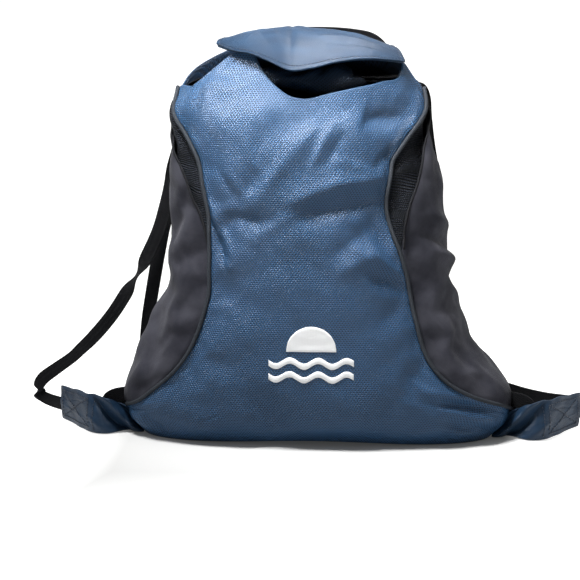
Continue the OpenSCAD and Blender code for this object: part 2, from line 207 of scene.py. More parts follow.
# Rim height across the front (-1 left seam, 1 right seam) and across the back
FRONT_RIM = [
    [-1, 294.5], [-0.9, 295.5], [-0.8, 295], [-0.72, 295.2], [-0.67, 297],
    [-0.64, 300.5], [-0.615, 305.5], [-0.595, 311], [-0.575, 317], [-0.55, 321.5],
    [-0.51, 324.5], [-0.44, 325], [-0.36, 321], [-0.24, 310.5], [-0.13, 299],
    [-0.05, 289.5], [0.03, 286.5], [0.155, 290.5], [0.28, 294.5], [0.47, 299.5],
    [0.65, 304], [0.72, 311], [0.77, 315.5], [0.82, 311.5], [0.88, 301], [1, 294.5],
]
BACK_RIM = [
    [-1, 294.5], [-0.97, 300], [-0.94, 306], [-0.91, 310.5], [-0.87, 314],
    [-0.8, 318.5], [-0.7, 322], [-0.6, 325], [-0.5, 327.5], [-0.42, 328.5],
    [0, 328.5], [0.42, 327.5], [0.5, 325.5], [0.58, 322.5], [0.65, 319],
    [0.7, 314], [0.74, 307], [0.79, 300], [0.86, 296], [1, 294.5],
]
BOTTOM_ARCH = 4.0
BOTTOM_ARCH_HALF = 80.0
SIDE_SEAM_LOW, SIDE_SEAM_HIGH = 24.0, 296.0


def middle_x(z):
    return (smooth_table(z, LEFT_EDGE) + smooth_table(z, RIGHT_EDGE)) / 2


def half_width(z):
    return (smooth_table(z, RIGHT_EDGE) - smooth_table(z, LEFT_EDGE)) / 2


def seam_angle(reach, z):
    front = np.arcsin(np.clip(reach, 0, 1) ** (smooth_table(z, SQUARENESS) / 2))
    return np.where(reach <= 1, np.degrees(front), 90 * reach)


def on_seam(z, angle):
    """The front and back panels meet at the side above and below the side panels."""
    return np.where((z < SIDE_SEAM_LOW) | (z > SIDE_SEAM_HIGH), 90.0, angle)


def piping_angle(side, z):
    return on_seam(z, np.minimum(seam_angle(smooth_table(z, PIPING[side]), z), 90))


def pocket_angle(side, z):
    table = POCKET_EDGE[side]
    edge = seam_angle(smooth_table(z, table), z)
    seam = piping_angle(side, z)
    return np.where(z < table[0][0], seam, np.maximum(seam, edge))


def back_seam_angle(z):
    return on_seam(z, np.maximum(seam_angle(smooth_table(z, BACK_SEAM), z), 90))


# Folds in the front, each a ridge along a line: x0, z0, x1, z1, width, height.
# A negative height is a valley.
FRONT_FOLDS = [
    # the broad hollow under the mouth's right corner
    (42, 273, 72, 271, 11, -6.5), (20, 294, 62, 300, 6, 1.2),
    # the shelf across the upper middle, lit above and dark below
    (-22, 206, 16, 222, 7, 3.6), (10, 221, 52, 226, 7, 3.8),
    (-10, 194, 50, 206, 11, -4.2), (56, 246, 66, 232, 6, -3.5),
    (52, 216, 62, 186, 6, -2.5), (60, 228, 76, 238, 5, 2.2),
    # small pleats that fan down from the lip
    (-6, 262, -36, 224, 4.5, 2.0), (2, 262, -10, 226, 4, -1.8),
    (12, 268, -6, 232, 4, 2.2), (22, 262, 8, 236, 4, -2.0),
    (24, 266, 44, 238, 4, 2.0), (14, 240, 46, 230, 3.5, 1.8),
    (-40, 262, -54, 220, 6, -1.6), (-60, 262, -44, 226, 6, 1.8),
    (-24, 240, -50, 204, 5, 2.0), (-34, 240, -62, 208, 5, -1.8),
    (-82, 236, -60, 204, 5, -2.0), (-72, 232, -52, 206, 5, 1.6),
    # the crease at the left seam, and the ridge beside it
    (-90, 200, -72, 150, 3, -3.2), (-86, 206, -66, 160, 4, 2.8),
    (-74, 158, -68, 150, 3, 2.4), (-66, 186, -46, 172, 5, 1.8),
    (-70, 196, -46, 188, 4, -1.8), (-46, 178, -18, 196, 5, 2.2),
    # the right middle: a lit diamond and its fans
    (18, 150, 50, 166, 7, 3.4), (14, 162, 40, 182, 6, -2.2),
    (30, 172, 50, 148, 4, 2.4), (40, 168, 76, 140, 4, 2.8),
    (36, 158, 70, 132, 5, -2.6), (30, 150, 62, 124, 5, 2.0),
    (60, 176, 72, 150, 5, 2.2), (24, 198, 48, 170, 6, 2.2),
    (44, 196, 56, 170, 6, -2.4), (-14, 170, 10, 140, 8, -2.0),
    # low and lower left
    (-30, 150, -12, 112, 9, 1.8), (-70, 120, -52, 92, 8, 1.6),
    (-50, 74, -43, 44, 3, 2.0), (-46, 74, -39, 44, 3.5, -1.4),
    (-89, 58, -84, 6, 3, 2.4), (-85, 56, -80, 8, 4, -2.0),
    (-32, 60, -8, 20, 8, 1.5), (8, 56, 44, 28, 10, 1.5),
    # corners pulled towards the tabs
    (84, 52, 136, 40, 4.5, 3.2), (92, 42, 150, 31, 4.5, -4.2),
    (96, 36, 152, 20, 4.5, 3.4), (104, 24, 156, 9, 4, -4.8),
    (112, 12, 154, 4, 4, 2.6), (70, 44, 104, 24, 7, 2.0),
    (-156, 30, -128, 6, 4.5, -5.0), (-160, 22, -142, 3, 4, 3.2),
    (-148, 36, -112, 18, 5, 3.0), (-138, 34, -104, 12, 5, -2.0),
]
# The same in the sides, with y in place of x
SIDE_FOLDS = {
    LEFT: [
        (-20, 240, -26, 150, 4, 1.8), (-8, 236, -14, 120, 4, -1.8),
        (6, 230, 2, 130, 5, 1.8), (-34, 180, -38, 90, 5, 1.5),
        (20, 200, 16, 60, 6, -1.8), (-16, 110, -34, 50, 7, 2.0),
        (30, 230, 6, 190, 5, 2.0), (0, 90, -10, 40, 6, -1.8),
    ],
    RIGHT: [
        (-34, 196, 10, 176, 6, 4.0), (-40, 180, 4, 158, 6, -4.2),
        (-36, 164, 14, 146, 7, 5.0), (-30, 150, 10, 126, 6, -3.6),
        (-26, 132, 16, 116, 6, 3.0), (-20, 226, -12, 196, 5, 2.0),
        (-44, 120, -30, 60, 6, 1.8), (10, 110, 0, 50, 7, -2.2),
        (24, 220, 12, 150, 6, 2.0),
    ],
}
BACK_FOLDS = [
    (-60, 230, -10, 200, 9, 2.2), (10, 240, 62, 214, 8, 2.0),
    (-40, 160, 30, 176, 10, -2.4), (30, 130, 80, 100, 9, 2.2),
    (-90, 110, -40, 84, 9, 2.2), (-120, 60, -80, 20, 8, 2.6),
    (80, 60, 130, 20, 8, 2.6), (-30, 300, 0, 262, 8, 1.8),
    (24, 300, 40, 256, 8, -1.8), (-20, 60, 40, 44, 10, 1.8),
]


def fold_sum(folds, a, z):
    total = np.zeros(np.shape(a))
    for a0, z0, a1, z1, width, height in folds:
        length2 = (a1 - a0) ** 2 + (z1 - z0) ** 2
        t = ((a - a0) * (a1 - a0) + (z - z0) * (z1 - z0)) / length2
        inside = np.clip(t, 0, 1)
        away2 = (a - a0 - inside * (a1 - a0)) ** 2 + (z - z0 - inside * (z1 - z0)) ** 2
        fade = smoothstep(-0.3, 0.35, t) * smoothstep(1.3, 0.65, t)
        total = total + height * fade * np.exp(0.5 - np.sqrt(0.25 + 2 * away2 / width**2))
    return total


def plain_point(angle, z, out=0.0):
    """The smooth body, with `out` millimetres added all round."""
    radians = np.radians(angle)
    power = 2 / smooth_table(z, SQUARENESS)
    front = np.cos(radians) > 0
    depth = BAG_HALF_DEPTH * np.where(
        front, smooth_table(z, FRONT_DEPTH), smooth_table(z, BACK_DEPTH)
    )
    x = middle_x(z) + (half_width(z) + out) * signed_power(np.sin(radians), power)
    y = -(depth + out) * signed_power(np.cos(radians), power)
    arch = BOTTOM_ARCH * np.exp(-(x / BOTTOM_ARCH_HALF) ** 2)
    lift = np.where(front, arch, 0) * np.clip(1 - z / 40, 0, 1) ** 2
    return np.stack([x, y, z + lift], axis=-1)


def folded_point(angle, z):
    """The body with its listed folds, before the cloth is inflated."""
    p = plain_point(angle, z)
    x, y = p[..., 0], p[..., 1]
    radians = np.radians(angle)
    facing_front = smoothstep(0.25, 0.6, np.cos(radians))
    facing_back = smoothstep(0.25, 0.6, -np.cos(radians))
    facing_left = smoothstep(0.5, 0.85, -np.sin(radians))
    facing_right = smoothstep(0.5, 0.85, np.sin(radians))
    out = (
        facing_front * fold_sum(FRONT_FOLDS, x, z)
        + facing_back * fold_sum(BACK_FOLDS, x, z)
        + facing_left * fold_sum(SIDE_FOLDS[LEFT], y, z)
        + facing_right * fold_sum(SIDE_FOLDS[RIGHT], y, z)
    )
    out = out + 0.5 * ripples(angle * 1.6, z, 34, 7, 11)
    out = out + 0.14 * ripples(angle * 1.5, z, 11, 8, 12)
    out = out * smoothstep(0, 12, z)
    direction = unit(plain_point(angle, z, 10) - p)
    return p + direction * out[..., None]


# ---- Mesh basics ------------------------------------------------------------


def link(obj):
    bpy.context.collection.objects.link(obj)
    return obj


def mesh_object(name, points, faces):
    """A linked object from points in millimetres."""
    mesh = bpy.data.meshes.new(name)
    mesh.from_pydata((np.reshape(points, (-1, 3)) * MM).tolist(), [], faces)
    return link(bpy.data.objects.new(name, mesh))


def grid_faces(rows, columns, closed):
    """Quads over a grid of points; closed columns join the last to the first."""
    faces = []
    for i in range(rows - 1):
        a, b = i * columns, (i + 1) * columns
        for j in range(columns if closed else columns - 1):
            k = (j + 1) % columns
            faces.append((a + j, a + k, b + k, b + j))
    return faces


# ---- Cloth simulation of the body -------------------------------------------

GRID_COLUMNS = 216
GRID_ROWS = 92
SIMULATION_FRAMES = 22
DISPLACEMENT_CAP = 6.0
# Pins: seams hold within this distance, and the bottom and rim by share of height
SEAM_PIN_WIDTH = 9.0
BOTTOM_PIN, RIM_PIN = 0.05, 0.955
CLOTH_SETTINGS = {
    "quality": 5, "mass": 0.25, "tension_stiffness": 18, "compression_stiffness": 12,
    "shear_stiffness": 4, "bending_stiffness": 0.35, "air_damping": 2,
    "vertex_group_mass": "pin", "pin_stiffness": 1, "shrink_min": -0.05,
    "use_pressure": True, "uniform_pressure_force": 2.2,
}


def rim_height(angle):
    """The rim's height at an angle from the front."""
    angle = (angle + 180) % 360 - 180
    front = smooth_table(angle / 90, FRONT_RIM)
    back_u = np.where(angle > 0, 180 - angle, -180 - angle) / 90
    back = smooth_table(back_u, BACK_RIM)
    return np.where(np.abs(angle) <= 90, front, back)


def seam_distance(angle, z):
    """About how far a point is from the nearest sewn seam, in millimetres."""
    across = half_width(z) * math.pi / 180
    nearest = np.full(np.shape(angle), 1e3)
    for side in (LEFT, RIGHT):
        for seam in (piping_angle(side, z), back_seam_angle(z)):
            nearest = np.minimum(nearest, np.abs(angle - side * seam) * across)
    return nearest


def simulated_offsets():
    """How far the inflated cloth stands from the folded surface, on a grid."""
    angles = -180 + 360 * np.arange(GRID_COLUMNS) / GRID_COLUMNS
    t = np.linspace(0, 1, GRID_ROWS)
    angle = np.broadcast_to(angles, (GRID_ROWS, GRID_COLUMNS))
    z = t[:, None] * rim_height(angle)
    start = folded_point(angle, z)
    cloth = mesh_object("cloth_start", start, grid_faces(GRID_ROWS, GRID_COLUMNS, True))
    mesh = cloth.data
    seam_pin = 1 - 0.985 * smoothstep(0, SEAM_PIN_WIDTH, seam_distance(angle, z))
    edge_pin = np.maximum(1 - t / BOTTOM_PIN, smoothstep(RIM_PIN, 1.0, t))[:, None]
    pin = np.clip(np.maximum(seam_pin, edge_pin), 0.012, 1).reshape(-1)
    group = cloth.vertex_groups.new(name="pin")
    for index, weight in enumerate(pin):
        group.add([index], float(weight), "REPLACE")
    modifier = cloth.modifiers.new("cloth", "CLOTH")
    for key, value in CLOTH_SETTINGS.items():
        setattr(modifier.settings, key, value)
    modifier.settings.effector_weights.gravity = 0
    scene = bpy.context.scene
    modifier.point_cache.frame_end = SIMULATION_FRAMES
    for number in range(1, SIMULATION_FRAMES + 1):
        scene.frame_set(number)
    evaluated = cloth.evaluated_get(bpy.context.evaluated_depsgraph_get())
    result = evaluated.to_mesh()
    end = np.empty(len(result.vertices) * 3)
    result.vertices.foreach_get("co", end)
    evaluated.to_mesh_clear()
    scene.frame_set(1)
    bpy.data.objects.remove(cloth)
    bpy.data.meshes.remove(mesh)
    offsets = end.reshape(start.shape) / MM - start
    offsets = (np.roll(offsets, 1, 1) + 2 * offsets + np.roll(offsets, -1, 1)) / 4
    offsets[1:-1] = (offsets[:-2] + 2 * offsets[1:-1] + offsets[2:]) / 4
    length = np.maximum(np.linalg.norm(offsets, axis=-1, keepdims=True), 1e-6)
    return offsets * np.tanh(length / DISPLACEMENT_CAP) * DISPLACEMENT_CAP / length


OFFSETS = simulated_offsets()


def surface(angle, z):
    """The finished cloth surface, in millimetres."""
    angle, z = np.broadcast_arrays(np.asarray(angle, float), np.asarray(z, float))
    column = (angle + 180) / 360 * GRID_COLUMNS
    row = np.clip(z / rim_height(angle), 0, 1) * (GRID_ROWS - 1)
    j0, i0 = np.floor(column).astype(int), np.minimum(row.astype(int), GRID_ROWS - 2)
    fj, fi = (column - j0)[..., None], (row - i0)[..., None]
    j0, j1 = j0 % GRID_COLUMNS, (j0 + 1) % GRID_COLUMNS
    low = OFFSETS[i0, j0] * (1 - fj) + OFFSETS[i0, j1] * fj
    high = OFFSETS[i0 + 1, j0] * (1 - fj) + OFFSETS[i0 + 1, j1] * fj
    return folded_point(angle, z) + low * (1 - fi) + high * fi


def surface_normal(angle, z):
    """The outward direction of the cloth surface."""
    step = 1.2
    across = surface(angle + step, z) - surface(angle - step, z)
    up = surface(angle, z + 2.5) - surface(angle, z - 2.5)
    return unit(np.cross(across, up))


def at_depth(angle, z, out):
    """A point `out` millimetres outside the cloth surface."""
    return surface(angle, z) + surface_normal(angle, z) * np.asarray(out)[..., None]


def front_angle(x, z):
    """The angle at which the front surface is at x."""
    share = np.clip((x - middle_x(z)) / half_width(z), -0.999, 0.999)
    return np.sign(share) * seam_angle(np.abs(share), z)


def back_angle(x, z):
    """The angle at which the back surface is at x."""
    share = np.clip((x - middle_x(z)) / half_width(z), -0.99, 0.99)
    return 180 - np.sign(share) * seam_angle(np.abs(share), z)


# ---- Mesh helpers -----------------------------------------------------------


def finish_mesh(obj, material):
    obj.data.materials.append(material)
    obj.data.polygons.foreach_set("use_smooth", [True] * len(obj.data.polygons))
    return obj


def grid_object(name, points, material, closed_columns=False, uv=None):
    """A mesh from a grid of points in millimetres, with a UV map in metres."""
    rows, columns = points.shape[:2]
    obj = mesh_object(name, points, grid_faces(rows, columns, closed_columns))
    if uv is None:
        uv = grid_uv(points, closed_columns)
    spans = columns if closed_columns else columns - 1
    i, j = np.indices((rows - 1, spans)).reshape(2, -1, 1)
    corners = uv[i + [[0, 0, 1, 1]], j + [[0, 1, 1, 0]]]
    obj.data.uv_layers.new(name="weave").data.foreach_set("uv", corners.reshape(-1))
    return finish_mesh(obj, material)


def grid_uv(points, closed_columns=False):
    """Distances along the cloth, in metres: across each row, and up the middle."""
    if closed_columns:
        points = np.concatenate([points, points[:, :1]], axis=1)
    middle = points.shape[1] // 2
    u = running(points, 1)
    u = u - u[:, middle:middle + 1]
    v = np.broadcast_to(running(points[:, middle])[:, None], u.shape)
    return np.stack([u, v], axis=-1) * MM


def add_modifier(obj, kind, **values):
    modifier = obj.modifiers.new(kind.lower(), kind)
    for key, value in values.items():
        setattr(modifier, key, value)
    return modifier


def apply_modifiers(obj):
    evaluated = obj.evaluated_get(bpy.context.evaluated_depsgraph_get())
    mesh = bpy.data.meshes.new_from_object(evaluated)
    old = obj.data
    obj.modifiers.clear()
    obj.data = mesh
    bpy.data.meshes.remove(old)


def cloth_layer(obj, thickness, offset=-1.0, inside=0):
    """Smooth a grid and give it the cloth's thickness.

    `inside` is how many materials further on the inner face takes its own.
    """
    add_modifier(obj, "SUBSURF", levels=1, render_levels=1)
    add_modifier(
        obj, "SOLIDIFY", thickness=thickness * MM, offset=offset, use_even_offset=False,
        material_offset=inside,
    )
    apply_modifiers(obj)
    return obj


def swept(name, path, normals, wide, high, u, material):
    """A closed cord or band: one section, as offsets, carried along a path."""
    along = unit(np.gradient(path, axis=0))
    across = unit(np.cross(along, normals))
    out = np.cross(across, along)
    rings = path[:, None] + across[:, None] * wide[:, None] + out[:, None] * high[:, None]
    uv = np.stack(np.meshgrid(u, running(path)), axis=-1) * MM
    obj = grid_object(name, rings, material, closed_columns=True, uv=uv)
    cap_ends(obj.data, len(wide), len(path))
    return obj


def tube(name, path, normals, radius, sides, material, flat=1.0):
    """A cord along a path. `flat` is its thickness over its width."""
    turn = 2 * math.pi * np.arange(sides + 1) / sides
    wide, high = radius * np.cos(turn[:-1]), radius * flat * np.sin(turn[:-1])
    return swept(name, path, normals, wide, high, radius * turn, material)


def ribbon(name, path, normals, width, thick):
    """Flat webbing: a rounded flat section along a path."""
    sides = 12
    turn = 2 * math.pi * (np.arange(sides) + 0.5) / sides
    wide = width / 2 * signed_power(np.cos(turn), 0.35)
    high = thick / 2 * signed_power(np.sin(turn), 0.5)
    return swept(name, path, normals, wide, high, np.append(wide, wide[0]), WEBBING)


def cap_ends(mesh, sides, rows):
    """Close both ends of a swept section."""
    bm = bmesh.new()
    bm.from_mesh(mesh)
    bm.verts.ensure_lookup_table()
    for ring in (range(sides - 1, -1, -1), range((rows - 1) * sides, rows * sides)):
        bm.faces.new([bm.verts[index] for index in ring])
    bmesh.ops.recalc_face_normals(bm, faces=bm.faces)
    bm.to_mesh(mesh)
    bm.free()


def join(name, objects):
    """Join several objects into one with a new name."""
    with bpy.context.temp_override(
        active_object=objects[0], selected_editable_objects=objects, selected_objects=objects
    ):
        bpy.ops.object.join()
    objects[0].name = name
    return objects[0]


STITCH_SIDES, STITCH_RINGS = 6, 5
STITCH_LIFT = 0.25


def stitches(name, path, normals, stitch, gap, radius):
    """A row of navy thread stitches along a path, as one object."""
    distance = running(path)
    count = int(distance[-1] // (stitch + gap))
    t = np.linspace(0, 1, STITCH_RINGS)
    at = np.arange(count)[:, None] * (stitch + gap) + t * stitch

    def sample(values):
        return np.stack([np.interp(at, distance, column) for column in values.T], -1)

    centre, normal = sample(path), unit(sample(unit(normals)))
    across = unit(np.cross(unit(np.gradient(centre, axis=1)), normal))
    centre = centre + normal * (STITCH_LIFT * np.sin(math.pi * t))[:, None]
    size = radius * np.sqrt(np.clip(1 - (2 * t - 1) ** 4, 0.08, 1))[:, None, None]
    turn = 2 * math.pi * np.arange(STITCH_SIDES)[:, None] / STITCH_SIDES
    ring = across[:, :, None] * np.cos(turn) + normal[:, :, None] * np.sin(turn)
    points = centre[:, :, None] + size * ring
    last = (STITCH_RINGS - 1) * STITCH_SIDES
    one = grid_faces(STITCH_RINGS, STITCH_SIDES, True)
    one += [tuple(range(STITCH_SIDES - 1, -1, -1)), tuple(range(last, last + STITCH_SIDES))]
    step = STITCH_RINGS * STITCH_SIDES
    faces = [tuple(k + n * step for k in face) for n in range(count) for face in one]
    obj = mesh_object(name, points, faces)
    obj.data.uv_layers.new(name="weave")
    return finish_mesh(obj, NAVY_THREAD)


# ---- Materials --------------------------------------------------------------


def feed(tree, value, target):
    if isinstance(value, (int, float)):
        target.default_value = value
    else:
        tree.links.new(value, target)


def math_node(tree, operation, *values):
    node = tree.nodes.new("ShaderNodeMath")
    node.operation = operation
    for value, target in zip(values, node.inputs):
        feed(tree, value, target)
    return node.outputs[0]


def ramp(tree, value, low, high, to_low=0.0, to_high=1.0):
    """A smooth step between two levels."""
    node = tree.nodes.new("ShaderNodeMapRange")
    node.interpolation_type = "SMOOTHSTEP"
    levels = {"From Min": low, "From Max": high, "To Min": to_low, "To Max": to_high}
    for key, number in {"Value": value, **levels}.items():
        feed(tree, number, node.inputs[key])
    return node.outputs["Result"]


def coordinates(tree, source, output):
    """The x, y and z of a texture coordinate."""
    split = tree.nodes.new("ShaderNodeSeparateXYZ")
    tree.links.new(source.outputs[output], split.inputs[0])
    return split.outputs


class Shader:
    """A small builder for a Principled material with a weave."""

    def __init__(self, name, roughness, sheen=0.0, specular=0.5):
        self.material = bpy.data.materials.new(name)
        self.material.use_nodes = True
        self.tree = self.material.node_tree
        self.inputs = self.tree.nodes["Principled BSDF"].inputs
        for key, value in {
            "Roughness": roughness, "Sheen Weight": sheen, "Sheen Roughness": 0.4,
            "Specular IOR Level": specular,
        }.items():
            self.inputs[key].default_value = value
        uv = self.tree.nodes.new("ShaderNodeUVMap")
        uv.uv_map = "weave"
        metres = coordinates(self.tree, uv, 0)
        self.u = self.math("MULTIPLY", metres[0], 1000.0)
        self.v = self.math("MULTIPLY", metres[1], 1000.0)

    def math(self, operation, *values):
        return math_node(self.tree, operation, *values)

    def span(self, value, *levels):
        return ramp(self.tree, value, *levels)

    def wave(self, u_per_mm, v_per_mm):
        """cos of a plane wave with these cycles per millimetre."""
        a = self.math("MULTIPLY", self.u, 2 * math.pi * u_per_mm)
        b = self.math("MULTIPLY_ADD", self.v, 2 * math.pi * v_per_mm, a)
        return self.math("COSINE", b)

    def noise(self, scale, detail=2.0, stretch=None):
        """Noise with `scale` features a metre, over the object's own space."""
        place = self.tree.nodes.new("ShaderNodeTexCoord").outputs["Object"]
        if stretch:
            mapping = self.tree.nodes.new("ShaderNodeMapping")
            mapping.inputs["Scale"].default_value = stretch
            self.tree.links.new(place, mapping.inputs["Vector"])
            place = mapping.outputs[0]
        node = self.tree.nodes.new("ShaderNodeTexNoise")
        node.inputs["Scale"].default_value = scale
        node.inputs["Detail"].default_value = detail
        self.tree.links.new(place, node.inputs["Vector"])
        return node.outputs["Fac"]

    def color(self, factor, dark, light):
        node = self.tree.nodes.new("ShaderNodeMix")
        node.data_type = "RGBA"
        feed(self.tree, factor, node.inputs["Factor"])
        node.inputs["A"].default_value = (*dark, 1)
        node.inputs["B"].default_value = (*light, 1)
        return node.outputs["Result"]

    def finish(self, color, height, distance_mm, roughness=None):
        self.tree.links.new(color, self.inputs["Base Color"])
        bump = self.tree.nodes.new("ShaderNodeBump")
        bump.inputs["Strength"].default_value = 1.0
        bump.inputs["Distance"].default_value = distance_mm * MM
        self.tree.links.new(height, bump.inputs["Height"])
        self.tree.links.new(bump.outputs[0], self.inputs["Normal"])
        if roughness is not None:
            self.tree.links.new(roughness, self.inputs["Roughness"])
        return self.material


def honeycomb(shader, across, rows):
    """Three crossed waves: 1 in the middle of each cell, low along its edges."""
    total = shader.math("ADD", shader.wave(0, 1 / rows), shader.wave(1 / across, 0.5 / rows))
    total = shader.math("ADD", total, shader.wave(1 / across, -0.5 / rows))
    return shader.span(total, -0.9, 2.0)


def navy_dobby(name, dark, light, specular):
    """Semi-gloss polyester: a honeycomb of light floats around dark pits."""
    s = Shader(name, 0.45, specular=specular)
    cell = honeycomb(s, 2.4, 1.66)
    twill = s.wave(1.3, 0.75)
    net = s.math("SUBTRACT", 1.0, cell)
    tone = s.math("MULTIPLY_ADD", s.noise(16, 3), 0.25, s.math("MULTIPLY", net, 0.9))
    color = s.color(tone, dark, light)
    height = s.math("MULTIPLY_ADD", twill, 0.1, net)
    gloss = s.span(net, 0, 1, 0.65, 0.45)
    return s.finish(color, height, 0.3, gloss)


def navy_satin():
    """Plain satin: a fine twill line and soft streaks of painted sheen."""
    s = Shader("navy_satin", 0.46, specular=0.2)
    twill = s.wave(1.1, 0.9)
    slub = s.noise(420, 2, (1, 0.25, 1))
    sheen_streak = s.noise(60, 4, (0.35, 1.4, 1))
    lines = s.math("MULTIPLY", twill, 0.08)
    # Lighter streaks in the colour are painted sheen
    tone = s.math("MULTIPLY_ADD", s.span(sheen_streak, 0.3, 0.75), 0.8, lines)
    color = s.color(tone, (0.004, 0.0155, 0.036), (0.011, 0.031, 0.064))
    return s.finish(color, s.math("MULTIPLY_ADD", slub, 0.8, twill), 0.07)


def charcoal_cloth():
    """Matt brushed cloth with a short uneven nap."""
    s = Shader("charcoal_cloth", 0.85, sheen=0.04, specular=0.1)
    nap = s.noise(2600, 3)
    clouds = s.noise(34, 5)
    tone = s.math("MULTIPLY_ADD", nap, 0.4, s.span(clouds, 0.3, 0.7, 0.0, 0.8))
    color = s.color(tone, (0.008, 0.0085, 0.014), (0.038, 0.0385, 0.049))
    height = s.math("MULTIPLY_ADD", s.noise(700, 3), 0.7, nap)
    return s.finish(color, height, 0.25)


def black_mesh():
    """Ribbed spacer mesh: cords across the pocket, with holes between them."""
    s = Shader("black_mesh", 0.7, specular=0.09)
    rib = s.wave(0.08, 0.58)
    hole = s.wave(0.62, 0.0)
    height = s.math("MULTIPLY_ADD", hole, 0.45, rib)
    tone = s.span(height, -0.9, 1.4)
    color = s.color(tone, (0.0003, 0.0004, 0.0007), (0.015, 0.019, 0.028))
    return s.finish(color, height, 0.4)


def black_binding():
    """Matt grosgrain tape."""
    s = Shader("black_binding", 0.75, specular=0.1)
    rib = s.wave(0.0, 1.3)
    color = s.color(s.span(rib, -1, 1), (0.002, 0.002, 0.003), (0.008, 0.0085, 0.011))
    return s.finish(color, rib, 0.08)


def grey_piping():
    """Cloth-wrapped cord with a slanted wrap line."""
    s = Shader("grey_piping", 0.7, specular=0.1)
    wrap = s.wave(0.35, 0.8)
    tone = s.math("MULTIPLY_ADD", s.noise(60, 3), 0.5, s.span(wrap, -1, 1, 0, 0.5))
    color = s.color(tone, (0.012, 0.015, 0.019), (0.034, 0.039, 0.048))
    return s.finish(color, wrap, 0.1)


def black_webbing():
    """Flat woven webbing: a herringbone of two slanted waves."""
    s = Shader("black_webbing", 0.7, specular=0.07)
    stripe = s.math("SIGN", s.wave(0.25, 0.0))
    slant = s.math("MULTIPLY", s.math("MULTIPLY", s.u, stripe), 2 * math.pi * 0.45)
    rib = s.math("COSINE", s.math("MULTIPLY_ADD", s.v, 2 * math.pi * 0.8, slant))
    color = s.color(s.span(rib, -1, 1), (0.001, 0.001, 0.0015), (0.006, 0.0065, 0.008))
    return s.finish(color, rib, 0.18)


def thread(name, dark, light, lines):
    """Glossy thread with fine parallel strands."""
    s = Shader(name, 0.45, sheen=0.1, specular=0.4)
    strand = s.wave(lines, 0.0)
    tone = s.math("MULTIPLY_ADD", s.noise(90), 0.3, s.span(strand, -1, 1, 0.2, 1))
    return s.finish(s.color(tone, dark, light), strand, 0.12)


DOBBY = navy_dobby("navy_dobby", (0.0005, 0.002, 0.008), (0.015, 0.057, 0.13), 0.3)
# The same cloth's duller wrong side, darkened as painted shade inside the mouth
DOBBY_PAINTED_SHADE = navy_dobby("navy_dobby_painted_shade", (0.0002, 0.0006, 0.002), (0.004, 0.013, 0.03), 0.1)
SATIN = navy_satin()
CHARCOAL = charcoal_cloth()
MESH = black_mesh()
BINDING = black_binding()
PIPING_CLOTH = grey_piping()
WEBBING = black_webbing()
NAVY_THREAD = thread("navy_thread", (0.004, 0.008, 0.02), (0.014, 0.024, 0.05), 2.0)
WHITE_THREAD = thread("white_thread", (0.8, 0.82, 0.84), (0.93, 0.935, 0.94), 1.7)


def place(obj, body, *nodes, slot=None):
    """Put a finished piece on its body, and hide the CAD nodes it stands for.

    `slot` is not used. Blender adds a number to a material's name, because
    the frame's materials have the same names.
    """
    if nodes:
        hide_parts(*nodes)
    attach(obj, body)
    return obj


def cloth_piece(node, kind, points, material, thickness, body="bag", offset=-1.0, **grid):
    """A layer of cloth from a grid of points, in place of a CAD node."""
    piece = grid_object(f"{node}_{kind}", points, material, **grid)
    cloth_layer(piece, thickness, offset)
    return place(piece, body, node)


# A sheet's area may not be less than this share of its width times its length
SHEET_LEAST_SHARE = 0.31


def cloth_sheet(obj, points):
    """Work out a cloth panel's area from its grid, held between a share of its width times its
    length and that product; nothing uses it.
    """
    a, b = points[1:, 1:] - points[:-1, :-1], points[1:, :-1] - points[:-1, 1:]
    area = 0.5 * np.linalg.norm(np.cross(a, b), axis=-1).sum() * MM * MM
    width = float(running(points, 1)[:, -1].max()) * MM
    length = float(running(points)[-1].max()) * MM
    area = min(max(float(area), SHEET_LEAST_SHARE * width * length), width * length)


# ---- Body panels ------------------------------------------------------------

FABRIC = 1.0
SEAM_DIP, SEAM_DIP_WIDTH = 1.8, 5.0
# The rim rolls in over the first hem rows, then hangs down to the hem's edge
HEM_RADIUS, HEM_DEPTH = 2.0, 14.0
HEM_ROLL_STEPS, HEM_DOWN_STEPS = 6, 3
SEAM_SMOOTHING = 10
# How far columns crowd towards a panel's two seams
PANEL_CROWDING = 0.86 * math.pi / 2


def seam_dip(u, half_span):
    """How far a panel sinks towards the seams at both of its sides."""
    from_edge = (1 - np.abs(u)) * half_span
    return -SEAM_DIP * np.clip(1 - from_edge / SEAM_DIP_WIDTH, 0, 1) ** 2


def hem_rows(rim, directions):
    """Rows that roll the rim inwards and down to a hem."""
    rows = []
    for step in range(1, HEM_ROLL_STEPS + HEM_DOWN_STEPS + 1):
        turn = min(step / HEM_ROLL_STEPS, 1) * math.pi
        down = max(step - HEM_ROLL_STEPS, 0) / HEM_DOWN_STEPS * HEM_DEPTH
        row = rim - directions * (HEM_RADIUS * (1 - math.cos(turn)))
        row[:, 2] += HEM_RADIUS * math.sin(turn) - down
        rows.append(row)
    return np.array(rows)


def panel_uv(angle, z, hem_count):
    """Straight weave lines: distance round the plain body, and height."""
    plan = plain_point(angle, z)[..., :2]
    u = running(plan, 1)
    middle = plan.shape[1] // 2
    way = np.sign(plan[0, -1, 0] - plan[0, 0, 0])
    u = u - u[:, middle:middle + 1] + way * plan[:, middle:middle + 1, 0]
    hem = z[-1] + HEM_RADIUS * np.arange(1, hem_count + 1)[:, None]
    hem_u = np.broadcast_to(u[-1], hem.shape)
    return np.stack([np.concatenate([u, hem_u]), np.concatenate([z, hem])], axis=-1) * MM


